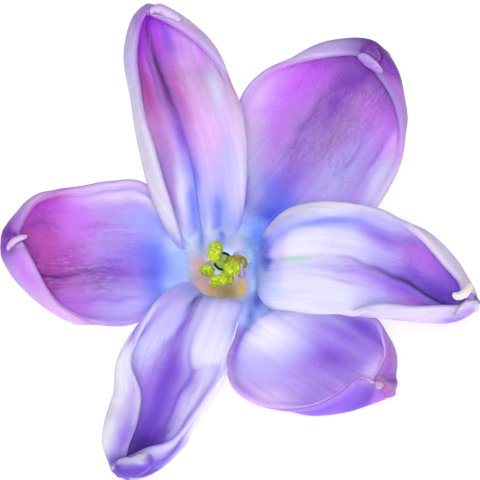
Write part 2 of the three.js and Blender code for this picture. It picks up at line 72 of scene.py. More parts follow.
# Colours of the tissue, as seen in daylight. Some of them, mostly the darker blues, royal, plum and ink,
# are also laid on as painted shade.
swatches = {
    "white": "eceafa",
    "chalk": "d6d1e4",
    "pearl": "d6d5f3",
    "lavender": "beb6ef",
    "periwinkle": "a2a8f6",
    "ice": "b4c8f6",
    "sky": "8fb0f0",
    "cornflower": "5a88dc",
    "blue": "707ff0",
    "deepBlue": "4a5ee0",
    "navy": "3650ac",
    "lilac": "b596e6",
    "violet": "8e5edc",
    "royal": "6a3cc2",
    "purple": "8038b4",
    "plum": "661c74",
    "ink": "38145e",
    "orchid": "c678e6",
    "fuchsia": "c44cec",
    "magenta": "ba48b8",
    "mauve": "aa7cc4",
    "rosy": "c896cc",
    "blush": "e0b4ee",
    "pink": "dac4ea",
    "leaf": "b0d6c8",
    "tan": "cba892",
    "rose": "c4a0aa",
    "gold": "c9a85c",
    "olive": "a08c4c",
    "amber": "e0b438",
    "cream": "f8eedc",
    "peach": "e2b4a0",
    "aqua": "a2ccde",
    "moss": "84824e",
}

# Stains that the six tepals share in the throat, with painted shade among them: the navy and cornflower
# in the gaps beside and under the base of inner_right, and the moss deep in the tube at column 221.
# Swatch, column, row, reach over and down, strength.
throatStainsAndShade = [
    ("blue", 160, 266, 15, 20, 0.95), ("sky", 177, 262, 6, 16, 0.6), ("ice", 184, 260, 4, 9, 0.6),
    ("sky", 249, 256, 8, 26, 0.9), ("cornflower", 258, 238, 10, 16, 0.95),
    ("cornflower", 258, 263, 7, 28, 1.0), ("aqua", 249, 257, 4, 10, 0.9),
    ("cornflower", 260, 282, 4, 12, 0.9), ("navy", 257, 301, 8, 12, 1.0), ("navy", 250, 316, 6, 10, 0.9),
    ("navy", 269, 259, 5, 18, 1.0), ("periwinkle", 243, 306, 4, 12, 0.9), ("pearl", 236, 248, 7, 10, 0.95),
    ("lavender", 231, 231, 4, 9, 0.8), ("blue", 222, 232, 3.6, 15, 0.9), ("pearl", 210, 240, 5, 16, 0.95),
    ("blue", 201, 235, 3.0, 15, 0.9), ("pearl", 191, 240, 4, 18, 0.95), ("lavender", 192, 284, 9, 9, 0.8),
    ("rose", 200, 280, 8, 12, 0.9), ("peach", 199, 265, 8, 10, 0.95), ("tan", 212, 289, 15, 14, 0.95),
    ("olive", 228, 294, 17, 13, 1.0), ("gold", 211, 290, 7, 7, 0.5), ("moss", 213, 305, 10, 3, 0.6),
    ("moss", 231, 303, 12, 2.5, 0.5), ("peach", 240, 278, 7, 8, 0.9), ("amber", 241.5, 289, 5, 6.5, 1.0),
    ("blush", 245, 272, 4, 5, 0.8), ("ice", 252, 286, 3, 10, 0.8), ("moss", 221, 269, 5, 4, 0.8),
]


# From a colour as it is displayed to one that light adds up in.
def linear(hexColour):
    parts = [int(hexColour[i:i + 2], 16) / 255 for i in (0, 2, 4)]
    return tuple(c / 12.92 if c <= 0.04045 else ((c + 0.055) / 1.055) ** 2.4 for c in parts) + (1.0,)


def swatch(name):
    return linear(swatches[name])


def unit(v):
    return v / np.maximum(np.linalg.norm(v, axis=-1, keepdims=True), 1e-9)


def smooth(low, high, x):
    s = np.clip((x - low) / (high - low), 0, 1)
    return s * s * (3 - 2 * s)


def ramp(knots, at):
    k = np.array(knots, float)
    i = np.clip(np.searchsorted(k[:, 0], at, side="right") - 1, 0, len(k) - 2)
    s = np.clip((at - k[i, 0]) / (k[i + 1, 0] - k[i, 0]), 0, 1)
    return k[i, 1] + (k[i + 1, 1] - k[i, 1]) * s * s * (3 - 2 * s)


def hermite(p0, m0, p1, m1, s):
    return ((1 + 2 * s) * (1 - s) ** 2 * p0 + s * (1 - s) ** 2 * m0
            + s * s * (3 - 2 * s) * p1 + s * s * (s - 1) * m1)


def facePoint(guide):
    x = (guide[0] - layout["throatColumn"]) * layout["gridStep"]
    y = (layout["throatRow"] - guide[1]) * layout["gridStep"]
    fallen = layout["recurve"] * (math.hypot(x, y) / layout["recurveAt"]) ** layout["recurvePower"]
    return (x, y, guide[2] - fallen)


def tubePoint(angle, radius, forward):
    a = np.radians(angle)
    return rimCentre + tubeForward * forward + (tubeRight * np.cos(a) + tubeUp * np.sin(a)) * radius


def softNoise(x, y, seed):
    size = 64
    table = np.random.RandomState(seed).rand(size, size)
    i, j = np.floor(x).astype(int), np.floor(y).astype(int)
    s, t = x - i, y - j
    s, t = s * s * (3 - 2 * s), t * t * (3 - 2 * t)
    near = table[i % size, j % size] * (1 - s) + table[(i + 1) % size, j % size] * s
    far = table[i % size, (j + 1) % size] * (1 - s) + table[(i + 1) % size, (j + 1) % size] * s
    return (near * (1 - t) + far * t) * 2 - 1


# A link comes from a socket, or from the first output of a node. A tuple is a fixed value.
def setNode(tree, node, settings, links):
    for name, value in settings.items():
        if isinstance(name, int) or name in node.inputs:
            node.inputs[name].default_value = value
        else:
            setattr(node, name, value)
    for name, source in links.items():
        if isinstance(source, tuple):
            node.inputs[name].default_value = source
        else:
            isNode = isinstance(source, bpy.types.Node)
            tree.links.new(source.outputs[0] if isNode else source, node.inputs[name])


def addNode(tree, kind, settings=None, links=None, stops=()):
    node = tree.nodes.new("ShaderNode" + kind)
    setNode(tree, node, settings or {}, links or {})
    if stops:
        elements = node.color_ramp.elements
        while len(elements) < len(stops):
            elements.new(0.5)
        for element, (place, tone) in zip(elements, stops):
            element.position = place
            element.color = tone
    return node


def newMaterial(name):
    material = bpy.data.materials.new(name)
    material.use_nodes = True
    tree = material.node_tree
    return material, tree, tree.nodes["Principled BSDF"], partial(addNode, tree)


# Fresh petal: waxy cuticle over clear cells with violet sap. Satin, and light passes some way through it.
petalFinish = {
    "roughness": 0.46,
    "ior": 1.42,
    "throughWeight": 0.6,
    "throughRadius": (1.0, 0.55, 1.15),
    "throughScale": 0.0010,
    "sheen": 0.12,
    "sheenRoughness": 0.4,
    "crepeWidth": 0.30,  # mm between fine wrinkles
    "crepeLength": 1.05,
    "veinWidth": 0.55,
    "cellWidth": 0.14,  # real cells are 0.03 mm: drawn as coarse as they need to show
    "wander": (0.035, 0.20, 0.0),  # how far the sap's borders move, along and across a tepal
    "streak": (0.03, 0.04, 0.0),
    "throatWander": (3.0, 3.0, 0.0),  # columns and rows
    "foot": -0.8,  # where the colours start, with 0 at the tube's rim and 1 at the tip
    "skinEdge": 0.25,  # how fast one skin's colours pass into the other's at the margin
    "fade": 0.368,  # what is left of a stain at its reach
    "soak": 0.83,  # how far a stain soaks from one skin to the other
    "rimShare": (0.9, 1.03),  # where a margin pales, with 1 at its edge
    "tipShare": (1.02, 1.12),
    "fleshBeside": (0.65, 0.15),  # how far from the midrib the crepe reaches
    "fleshAlong": (0.3, 0.5),
    "leastCrepe": 0.03,
    "crepeLevel": 0.52,
    "relief": 0.0005,
}


# Settings of a soft step between two places.
def between(limits):
    low, high = petalFinish[limits]
    return {"interpolation_type": "SMOOTHSTEP", "From Min": low, "From Max": high}


def petalMaterial(name, look):
    material, tree, shader, add = newMaterial(name)
    foot = petalFinish["foot"]
    place = add("Attribute", {"attribute_name": "place"}).outputs["Vector"]
    sheet = add("Attribute", {"attribute_name": "sheet"}).outputs["Vector"]

    # The sap's borders wander a little and run in streaks along the veins.
    wander = add("TexNoise", {"Scale": 0.3, "Detail": 2.0}, {"Vector": sheet}).outputs["Color"]
    drawn = (0.1, 1 / petalFinish["veinWidth"], 1.0)
    streakPlace = add("VectorMath", {"operation": "MULTIPLY", 1: drawn}, {0: sheet})
    streak = add("TexNoise", {"Scale": 1.0, "Detail": 2.0, "Roughness": 0.6}, {"Vector": streakPlace})
    middle = (0.5, 0.5, 0.5)
    centred = add("VectorMath", {"operation": "SUBTRACT", 1: middle}, {0: wander})
    shift = add("VectorMath", {"operation": "MULTIPLY", 1: petalFinish["wander"]}, {0: centred})
    wandered = add("VectorMath", {"operation": "ADD"}, {0: place, 1: shift})
    streakCentred = add("VectorMath", {"operation": "SUBTRACT", 1: middle}, {0: streak.outputs["Color"]})
    streakShift = add("VectorMath", {"operation": "MULTIPLY", 1: petalFinish["streak"]}, {0: streakCentred})
    drifted = add("VectorMath", {"operation": "ADD"}, {0: wandered, 1: streakShift})
    parts = add("SeparateXYZ", {}, {0: drifted}).outputs
    along = add("MapRange", {"From Min": foot, "From Max": 1.0}, {"Value": parts[0]})
    skinEdge = petalFinish["skinEdge"]
    skin = add("MapRange", {"From Min": -skinEdge, "From Max": skinEdge}, {"Value": parts[2]})
    grounds = []
    for knots in (look["outside"], look["inside"]):
        stops = [((u - foot) / (1 - foot), swatch(tint)) for u, tint in knots]
        grounds.append(add("ValToRGB", {}, {0: along}, stops))
        grounds[-1].color_ramp.interpolation = "EASE"
    colour = add("Mix", {"data_type": "RGBA"}, {0: skin, 6: grounds[0], 7: grounds[1]}).outputs[2]

    # Lays a soft round spot of colour over another: a stain of sap, and where a wash stands for shade,
    # painted shade.
    def paintSpot(under, tint, strength, at, spot):
        scaled = add("Mapping", {"vector_type": "TEXTURE", **spot}, {"Vector": at})
        square = add("VectorMath", {"operation": "DOT_PRODUCT"}, {0: scaled, 1: scaled}).outputs["Value"]
        fade = add("Math", {"operation": "POWER", 0: petalFinish["fade"]}, {1: square})
        amount = add("Math", {"operation": "MULTIPLY", 1: strength}, {0: fade})
        return add("Mix", {"data_type": "RGBA", 7: swatch(tint)}, {0: amount, 6: under}).outputs[2]

    for side, washes in ((1, look["insideWashes"]), (-1, look["outsideWashes"])):
        for tint, u, v, reachU, reachV, strength, tilt in washes:
            spot = {"Location": (u, v, side), "Rotation": (0.0, 0.0, math.radians(tilt)),
                    "Scale": (reachU, reachV, petalFinish["soak"])}
            colour = paintSpot(colour, tint, strength, drifted, spot)

    # The throat: sap pools there in stains that run on from one tepal to the next, with painted shade among
    # them where the tepals' bases overlap and the tube goes deep.
    throat = add("Attribute", {"attribute_name": "throat"}).outputs["Vector"]
    throatParts = add("SeparateXYZ", {}, {0: throat}).outputs
    throatShift = add("VectorMath", {"operation": "MULTIPLY", 1: petalFinish["throatWander"]}, {0: centred})
    throatPlace = add("VectorMath", {"operation": "ADD"}, {0: throat, 1: throatShift})
    lining = swatch("ice")
    for tint, column, row, reachOver, reachDown, strength in throatStainsAndShade:
        spot = {"Location": (column, row, 0.0), "Scale": (reachOver, reachDown, 1000.0)}
        lining = paintSpot(lining, tint, strength, throatPlace, spot)
    deep = add("Math", {"operation": "MULTIPLY"}, {0: throatParts[2], 1: skin})
    colour = add("Mix", {"data_type": "RGBA"}, {0: deep, 6: colour, 7: lining}).outputs[2]

    # Thin margins hold little sap and let light through.
    edge = add("Math", {"operation": "ABSOLUTE"}, {0: parts[1]})
    rim = add("MapRange", {**between("rimShare"), "To Max": look["rim"]}, {"Value": edge})
    lobe = add("MapRange", {"From Min": 0.1, "From Max": 0.3}, {"Value": parts[0]})
    rimHere = add("Math", {"operation": "MULTIPLY"}, {0: rim, 1: lobe})
    colour = add("Mix", {"data_type": "RGBA", 7: swatch(look["rimColour"])},
                 {0: rimHere, 6: colour}).outputs[2]
    tipHere = add("MapRange", between("tipShare"), {"Value": parts[0]})
    colour = add("Mix", {"data_type": "RGBA", 7: swatch(look["tip"])}, {0: tipHere, 6: colour}).outputs[2]

    # Veins: slightly darker streaks along the blade.
    vein = add("MapRange", {"From Min": 0.3, "From Max": 0.7, "To Min": 0.90, "To Max": 1.06},
               {"Value": streak})
    colour = add("Mix", {"data_type": "RGBA", "blend_type": "MULTIPLY", 0: 1.0},
                 {6: colour, 7: vein}).outputs[2]

    # Crepe: fine wrinkles along the blade, broken up, where it is fleshiest. Besides their bump they are
    # painted: purple in the valleys as painted shade, lavender on the crests as painted highlight.
    drawn = (1 / petalFinish["crepeLength"], 1 / petalFinish["crepeWidth"], 1.0)
    crepePlace = add("VectorMath", {"operation": "MULTIPLY", 1: drawn}, {0: sheet})
    crepe = add("TexNoise", {"Scale": 1.0, "Detail": 2.5, "Roughness": 0.5, "Distortion": 1.2},
                {"Vector": crepePlace})
    patch = add("TexNoise", {"Scale": 0.35, "Detail": 1.0}, {"Vector": sheet})
    patchy = add("MapRange", {"From Min": 0.35, "From Max": 0.6}, {"Value": patch})
    midrib = add("MapRange", between("fleshBeside"), {"Value": edge})
    outer = add("MapRange", between("fleshAlong"), {"Value": parts[0]})
    fleshy = add("Math", {"operation": "MULTIPLY"}, {0: midrib, 1: outer})
    fleshy = add("Math", {"operation": "MULTIPLY"}, {0: fleshy, 1: patchy})
    fleshy = add("Math", {"operation": "MULTIPLY_ADD", 1: look["crepe"], 2: petalFinish["leastCrepe"]},
                 {0: fleshy})
    # Painted shade in the valleys, painted highlight on the crests.
    for end, strength, tint in ((0.34, 0.42, "purple"), (0.7, 0.36, "lavender")):
        height = add("MapRange", {"From Min": petalFinish["crepeLevel"], "From Max": end}, {"Value": crepe})
        here = add("Math", {"operation": "MULTIPLY"}, {0: height, 1: fleshy})
        here = add("Math", {"operation": "MULTIPLY", 1: strength}, {0: here})
        colour = add("Mix", {"data_type": "RGBA", 7: swatch(tint)}, {0: here, 6: colour}).outputs[2]

    cells = add("TexVoronoi", {"Scale": 1 / petalFinish["cellWidth"]}, {"Vector": sheet})
    cellHeight = add("Math", {"operation": "MULTIPLY", 1: 0.10}, {0: cells})
    wrinkleHeight = add("Math", {"operation": "MULTIPLY"}, {0: crepe, 1: fleshy})
    veinHeight = add("Math", {"operation": "MULTIPLY", 1: 0.10}, {0: streak})
    height = add("Math", {"operation": "ADD"}, {0: cellHeight, 1: wrinkleHeight})
    height = add("Math", {"operation": "ADD"}, {0: height, 1: veinHeight})
    bump = add("Bump", {"Strength": 0.8, "Distance": petalFinish["relief"]}, {"Height": height})
    gloss = add("MapRange", {"To Min": petalFinish["roughness"] - 0.06,
                             "To Max": petalFinish["roughness"] + 0.1}, {"Value": streak})

    # Painted light: the throat glows with its own colour, standing in for light that soaks in through the
    # thin wall and fills the throat.
    within = add("MapRange", {"From Min": -0.03, "From Max": -0.2, "To Min": 0.34, "To Max": 0.85},
                 {"Value": parts[0]})
    paintedGlow = add("Math", {"operation": "MULTIPLY"}, {0: deep, 1: within})
    setNode(tree, shader, {
        "IOR": petalFinish["ior"],
        "Subsurface Weight": petalFinish["throughWeight"],
        "Subsurface Radius": petalFinish["throughRadius"],
        "Subsurface Scale": petalFinish["throughScale"],
        "Sheen Weight": petalFinish["sheen"],
        "Sheen Roughness": petalFinish["sheenRoughness"],
    }, {"Base Color": colour, "Roughness": gloss, "Normal": bump, "Emission Color": colour,
        "Emission Strength": paintedGlow})
    return material


# Tepals. Each row crosses a tepal: left margin, left fold, midrib, right fold, right margin, from throat
# to tip. Left and right are those of someone who looks out along the tepal. Column, row, height in mm.
# A lip is a path, its radii, and the two places on the tepal that its upper and lower sides look like.
# The colours of the sap, with some painted shade, run from foot to tip; a wash over them: swatch,
# place along and across, reach along and across, strength, tilt in degrees.
# Painted shade is noted where it lies.
tepals = {
    "inner_top": {
        "angle": 122, "groove": 0.2, "crown": 9, "bead": 0.34,
        "rows": [
            [(184, 246, -0.4), (173, 240, -0.8), (200, 222, -0.4), (226, 224, -0.7), (237, 233, -1.1)],
            [(169, 196, 2.0), (152, 197, 0.9), (196, 187, 0.9), (232, 193, 1.4), (246, 199, 1.2)],
            [(154, 147, 2.6), (139, 148, 1.3), (189, 150, 1.2), (237, 146, 2.1), (248, 143, 1.9)],
            [(142, 103, 2.7), (132, 105, 1.3), (175, 104, 1.1), (230, 102, 1.9), (239, 98, 1.9)],
            [(137, 62, 2.4), (124, 60, 1.0), (156, 64, 0.8), (221, 58, 1.4), (215, 60, 2.2)],
            [(138, 38, 2.1), (127, 32, 0.6), (150, 36, 0.3), (199, 30, 0.9), (190, 36, 2.1)],
            [(141, 21, 2.0), (134, 14, 0.5), (147, 13, 0.0), (170, 9, 0.8), (162, 19, 2.1)],
            [(145, 14, 2.0), (140, 8, 0.9), (147, 5, 0.5), (156, 6, 0.9), (151, 15, 2.1)],
            [(147, 12, 2.1), (145, 9, 1.6), (148, 8, 1.4), (151, 9, 1.6), (149, 12, 2.1)],
        ],
        "lips": [
            ([(150.5, 13, 2.15), (153, 9, 2.2), (159, 8, 2.2), (168, 12, 2.15), (181, 20, 1.95)],
             [0.16, 0.28, 0.4, 0.44, 0.26], (0.89, -0.92, -1), (0.75, -0.88, -1)),
        ],
        "crepe": 0.2, "rim": 0.25, "rimColour": "lavender", "tip": "white",
        "inside": [
            (-0.45, "tan"), (-0.12, "chalk"), (0, "pearl"), (0.1, "ice"), (0.2, "periwinkle"),
            (0.34, "lavender"), (0.5, "blush"), (0.66, "rosy"), (0.8, "orchid"), (0.92, "fuchsia"),
        ],
        "outside": [
            (-0.7, "leaf"), (-0.3, "lavender"), (0.12, "periwinkle"), (0.22, "chalk"), (0.5, "chalk"),
            (0.75, "lavender"), (0.94, "lilac"),
        ],
        "insideWashes": [
            ("periwinkle", 0.06, 0.7, 0.08, 0.25, 0.7, 0), ("blue", 0.08, 0.55, 0.35, 0.03, 0.75, -80),
            ("white", 0.135, 0.46, 0.2, 0.06, 0.75, -70), ("white", 0.27, 0.24, 0.12, 0.06, 0.7, -42),
            ("blue", 0.22, 0.1, 0.1, 0.06, 0.85, -20), ("blue", 0.33, -0.02, 0.12, 0.11, 1.0, 0),
            ("white", 0.1, -0.26, 0.08, 0.07, 0.85, 0), ("blue", 0.14, -0.5, 0.1, 0.12, 0.85, 0),
            ("blue", 0.24, -0.52, 0.05, 0.14, 0.8, 0), ("lavender", 0.4, -0.6, 0.1, 0.14, 0.7, 0),
            ("mauve", 0.3, 0.34, 0.12, 0.08, 0.85, 0), ("mauve", 0.44, 0.32, 0.12, 0.1, 0.8, 0),
            ("magenta", 0.64, 0.3, 0.14, 0.16, 1, 0), ("fuchsia", 0.83, 0.25, 0.09, 0.2, 1, 0),
            ("blush", 0.5, -0.34, 0.12, 0.14, 0.9, 0), ("magenta", 0.64, -0.12, 0.16, 0.12, 0.8, 0),
            ("blush", 0.72, -0.32, 0.12, 0.14, 0.8, 0), ("pearl", 0.64, -0.6, 0.12, 0.13, 0.9, 0),
            ("chalk", 0.45, -0.85, 0.2, 0.12, 0.7, 0), ("fuchsia", 0.82, -0.08, 0.08, 0.08, 0.8, 0),
            ("violet", 0.84, -0.19, 0.08, 0.06, 0.9, -20), ("blush", 0.83, -0.42, 0.07, 0.1, 0.85, 0),
            # Violet, purple, plum and ink along the midrib: partly its own colour, partly painted shade in
            # the groove.
            ("violet", 0.48, 0.02, 0.1, 0.13, 1.0, 0), ("purple", 0.66, 0.03, 0.16, 0.1, 1.0, 0),
            ("plum", 0.7, 0.02, 0.14, 0.055, 1, 0), ("ink", 0.7, 0.02, 0.1, 0.025, 0.5, 0),
            ("purple", 0.7, 0.15, 0.12, 0.03, 0.7, 4), ("ink", 0.86, 0.13, 0.07, 0.03, 0.7, 40),
        ],
        "outsideWashes": [
            ("periwinkle", 0.15, 0.9, 0.04, 0.15, 0.8, 0), ("chalk", 0.5, 0.8, 0.25, 0.2, 0.8, 0),
            ("pink", 0.82, 0.88, 0.08, 0.14, 0.7, 0), ("fuchsia", 0.93, 0.99, 0.04, 0.06, 0.8, 0),
            ("pink", 0.75, -0.88, 0.12, 0.16, 0.9, 0), ("white", 0.9, -0.77, 0.05, 0.08, 0.95, 0),
            ("blush", 0.89, -0.92, 0.06, 0.1, 0.8, 0), ("purple", 0.98, -0.95, 0.02, 0.1, 0.8, 0),
        ],
    },
    "outer_upper_right": {
        "angle": 62, "groove": 0.12, "crown": -4, "bead": 0.42,
        "rows": [
            [(236, 218, -1.7), (239, 219, -1.5), (250, 228, -1.2), (262, 241, -1.5), (265, 247, -1.7)],
            [(243, 190, -1.3), (247, 193, -1.5), (277, 208, -1.8), (286, 232, -1.6), (290, 240, -1.6)],
            [(238, 140, -0.8), (246, 146, -1.2), (303, 176, -2.1), (350, 218, -1.4), (356, 228, -1.2)],
            [(241, 95, -0.6), (249, 104, -1.3), (330, 137, -2.2), (374, 193, -1.5), (383, 202, -1.1)],
            [(274, 64, -0.1), (278, 69, -0.8), (355, 100, -2.0), (397, 151, -1.3), (405, 154, -0.7)],
            [(317, 57, 0.4), (314, 45, -0.4), (372, 76, -1.6), (408, 120, -0.8), (401, 117, 0.3)],
            [(346, 54, 0.8), (345, 38, -0.2), (382, 61, -1.0), (403, 93, -0.4), (388, 86, 0.9)],
            [(361, 55, 1.2), (366, 38, 0.3), (387, 53, -0.2), (396, 76, 0.2), (371, 66, 1.2)],
            [(366, 57, 1.3), (374, 43, 0.9), (383, 51, 0.8), (385, 63, 0.9), (369, 61, 1.3)],
        ],
        "lips": [
            ([(358, 55.5, 1.35), (362, 56, 1.6), (367, 59.5, 1.65), (374, 64.5, 1.45), (383, 72, 0.9)],
             [0.16, 0.34, 0.42, 0.42, 0.2], (0.76, 0.85, -1), (0.91, -0.85, -1)),
            ([(361, 51, 1.0), (368, 51, 1.3), (375, 54, 1.2), (379, 60, 0.9)],
             [0.3, 0.52, 0.52, 0.34], (0.96, 0.8, -1), (0.96, 0.8, -1)),
        ],
        "crepe": 0.62, "rim": 0.3, "rimColour": "chalk", "tip": "cream",
        "inside": [
            (-0.45, "tan"), (-0.15, "lavender"), (0, "ice"), (0.07, "sky"), (0.13, "cornflower"),
            (0.2, "blue"), (0.29, "blue"), (0.38, "lilac"), (0.6, "lilac"), (0.75, "orchid"), (0.9, "purple"),
        ],
        "outside": [
            (-0.7, "leaf"), (-0.3, "lilac"), (0.3, "lilac"), (0.6, "pink"), (0.85, "lilac"), (0.95, "purple"),
        ],
        "insideWashes": [
            ("ice", 0.06, 0.2, 0.05, 0.5, 0.7, 0), ("cornflower", 0.09, -0.55, 0.06, 0.35, 0.9, 0),
            ("deepBlue", 0.22, -0.03, 0.07, 0.17, 1, 0), ("deepBlue", 0.15, -0.3, 0.04, 0.3, 0.8, 0),
            ("lavender", 0.27, 0.65, 0.11, 0.3, 0.9, 0), ("blue", 0.31, 0.2, 0.08, 0.15, 0.9, 0),
            ("violet", 0.38, 0.12, 0.09, 0.16, 0.7, 0), ("pearl", 0.4, 0.78, 0.1, 0.2, 0.9, 0),
            ("pink", 0.5, 0.72, 0.12, 0.18, 0.85, 0), ("blush", 0.6, 0.75, 0.1, 0.2, 0.85, 0),
            ("orchid", 0.52, 0.42, 0.12, 0.12, 0.8, 0), ("fuchsia", 0.72, 0.42, 0.15, 0.2, 0.7, 0),
            ("mauve", 0.62, 0.27, 0.17, 0.12, 0.6, 0), ("mauve", 0.58, -0.02, 0.12, 0.13, 0.8, 0),
            ("lavender", 0.46, -0.32, 0.13, 0.16, 0.85, 0), ("violet", 0.6, -0.3, 0.12, 0.03, 0.55, -10),
            ("lilac", 0.66, -0.42, 0.1, 0.1, 0.6, 0), ("violet", 0.68, -0.56, 0.1, 0.04, 0.8, -8),
            ("mauve", 0.72, -0.1, 0.1, 0.14, 0.7, 0), ("purple", 0.6, 0.22, 0.18, 0.06, 0.6, 0),
            ("purple", 0.7, 0.1, 0.14, 0.09, 0.8, 0), ("purple", 0.82, 0.12, 0.12, 0.15, 1.0, 0),
            ("pearl", 0.6, -0.78, 0.14, 0.14, 0.95, 0), ("blush", 0.75, -0.75, 0.05, 0.14, 0.8, 0),
            ("chalk", 0.55, -0.97, 0.14, 0.06, 0.8, 0),
        ],
        "outsideWashes": [
            ("pink", 0.76, 0.85, 0.16, 0.2, 0.9, 0), ("lavender", 0.88, 0.86, 0.06, 0.08, 0.7, 0),
            ("purple", 0.96, 0.8, 0.03, 0.3, 0.9, 0), ("mauve", 0.8, -0.85, 0.12, 0.2, 0.9, 0),
            ("orchid", 0.91, -0.85, 0.05, 0.12, 0.95, 0), ("violet", 0.9, -0.98, 0.08, 0.03, 0.9, 0),
            ("plum", 0.985, 0.1, 0.02, 0.6, 0.7, 0),
        ],
    },
    "inner_right": {
        "angle": 2, "groove": 0.25, "crown": 2, "bead": 0.36,
        "rows": [
            [(262, 244, -0.6), (264, 249, -0.2), (268, 262, 0.2), (263, 276, -0.2), (260, 284, -0.6)],
            [(266, 229, 0.4), (273, 236, 1.3), (276, 261, 1.5), (266, 289, 1.3), (260, 297, 0.3)],
            [(284, 210, 1.0), (290, 222, 2.0), (292, 258, 2.1), (278, 300, 1.8), (272, 309, 0.9)],
            [(313, 202, 1.4), (316, 214, 2.1), (318, 257, 2.2), (308, 305, 1.8), (304, 313, 1.2)],
            [(352, 203, 1.8), (352, 209, 2.0), (350, 262, 1.9), (345, 313, 1.3), (343, 314, 1.6)],
            [(388, 211, 1.7), (386, 220, 1.7), (385, 272, 1.2), (382, 318, 0.8), (378, 304, 1.8)],
            [(419, 236, 1.7), (424, 230, 0.8), (415, 288, 0.6), (420, 322, 0.3), (418, 306, 1.7)],
            [(443, 264, 1.8), (453, 256, 0.5), (443, 304, 0.2), (450, 323, 0.1), (448, 306, 1.8)],
            [(459, 282, 1.9), (469, 280, 0.6), (464, 310, 0.1), (468, 318, 0.3), (463, 304, 1.9)],
            [(461, 291, 2.2), (474, 293, 1.1), (478, 303, 0.8), (477, 309, 1.0), (470, 301, 2.0)],
            [(463, 293, 2.3), (470, 293, 1.9), (474, 297, 1.8), (474, 300, 1.8), (468, 298, 2.2)],
        ],
        "lips": [
            ([(452.5, 293, 2.2), (457, 296, 2.4), (463, 294, 2.45), (468, 289, 2.35), (470, 283, 2.1)],
             [0.2, 0.32, 0.36, 0.36, 0.22], (1.15, 0, 0), (1.15, 0, 0)),
            ([(455, 314, 1.2), (463, 309.5, 1.7), (470, 305, 1.9), (474, 305.5, 1.7), (475.5, 310, 1.2)],
             [0.28, 0.44, 0.5, 0.5, 0.34], (0.7, -0.9, -1), (0.95, -0.82, -1)),
        ],
        "crepe": 0.3, "rim": 0.4, "rimColour": "white", "tip": "cream",
        "inside": [
            # Cornflower, blue and deep blue from 0.1 to 0.21: painted shade where the claw turns down into
            # the throat.
            (-0.45, "tan"), (-0.1, "ice"), (0, "ice"), (0.05, "aqua"), (0.1, "cornflower"), (0.16, "blue"),
            (0.21, "deepBlue"), (0.24, "lavender"), (0.29, "pearl"), (0.46, "pearl"), (0.58, "lavender"),
            (0.7, "lilac"), (0.85, "violet"),
        ],
        "outside": [
            (-0.7, "leaf"), (-0.3, "lavender"), (0.15, "sky"), (0.4, "pearl"), (0.75, "pink"),
            (0.93, "lilac"),
        ],
        "insideWashes": [
            ("ice", 0.21, -0.65, 0.05, 0.3, 0.95, 0), ("ice", 0.14, -0.65, 0.06, 0.25, 0.8, 0),
            ("leaf", 0.29, -0.02, 0.06, 0.07, 0.9, 0), ("periwinkle", 0.26, 0.68, 0.04, 0.14, 0.8, 0),
            # The periwinkle and blue at 0.4 along and the violet at 0.6 along: painted shade in the groove
            # beside the upper margin.
            ("periwinkle", 0.4, 0.57, 0.19, 0.13, 1.0, -8), ("blue", 0.4, 0.58, 0.13, 0.07, 0.6, -8),
            ("violet", 0.6, 0.47, 0.12, 0.13, 0.9, -14), ("white", 0.45, 0.88, 0.18, 0.12, 0.9, 0),
            ("white", 0.34, 0.3, 0.1, 0.15, 0.5, 0), ("lavender", 0.64, 0.72, 0.1, 0.14, 0.8, 0),
            ("orchid", 0.74, 0.38, 0.09, 0.13, 0.95, 0), ("violet", 0.72, 0.15, 0.12, 0.12, 1, 0),
            ("royal", 0.8, 0.1, 0.08, 0.1, 0.95, 0), ("mauve", 0.5, 0.05, 0.08, 0.03, 0.6, 0),
            ("lavender", 0.42, -0.15, 0.1, 0.05, 0.7, 0), ("lilac", 0.56, -0.14, 0.14, 0.14, 1.0, 0),
            ("mauve", 0.46, -0.26, 0.12, 0.02, 0.5, 0), ("violet", 0.68, -0.16, 0.1, 0.1, 1, 0),
            ("orchid", 0.72, -0.27, 0.07, 0.06, 0.7, 0), ("blush", 0.74, -0.36, 0.05, 0.05, 0.7, 0),
            ("pearl", 0.42, -0.55, 0.15, 0.25, 0.85, 0), ("ice", 0.28, -0.65, 0.03, 0.1, 0.6, 0),
            # The navy on the lower margin is painted shade; the royal and ink along the midrib are partly its
            # own colour, partly painted shade in the crease.
            ("navy", 0.31, -0.95, 0.05, 0.06, 0.8, 0), ("royal", 0.68, 0, 0.15, 0.11, 0.95, 0),
            ("ink", 0.7, 0.01, 0.13, 0.04, 0.8, 0), ("ink", 0.79, 0, 0.06, 0.05, 1, 0),
        ],
        "outsideWashes": [
            ("chalk", 0.85, 0.95, 0.12, 0.1, 0.9, 0), ("chalk", 0.8, 0.82, 0.14, 0.09, 0.95, 0),
            ("lilac", 0.53, -0.85, 0.04, 0.12, 0.8, 0), ("pearl", 0.7, -0.9, 0.12, 0.12, 0.8, 0),
            ("violet", 0.86, -0.78, 0.06, 0.05, 0.8, 0), ("mauve", 0.95, -0.82, 0.02, 0.15, 0.9, 0),
            ("cream", 0.94, 0.85, 0.03, 0.1, 0.9, 0),
        ],
    },
    "outer_lower_right": {
        "angle": -58, "groove": 0.0, "crown": -6, "bead": 0.4,
        "rows": [
            [(262, 285, -1.7), (260, 288, -1.5), (250, 300, -1.2), (240, 309, -1.5), (236, 312, -1.7)],
            [(300, 291, -1.4), (295, 293, -1.6), (272, 318, -1.9), (240, 335, -1.6), (235, 338, -1.3)],
            [(338, 302, -1.2), (332, 304, -1.5), (298, 338, -2.2), (235, 360, -1.6), (225, 364, -1.2)],
            [(364, 312, -0.9), (358, 317, -1.5), (322, 355, -2.2), (244, 385, -1.6), (235, 393, -1.1)],
            [(380, 321, -0.5), (374, 326, -1.2), (344, 367, -2.1), (273, 402, -1.5), (268, 410, -0.9)],
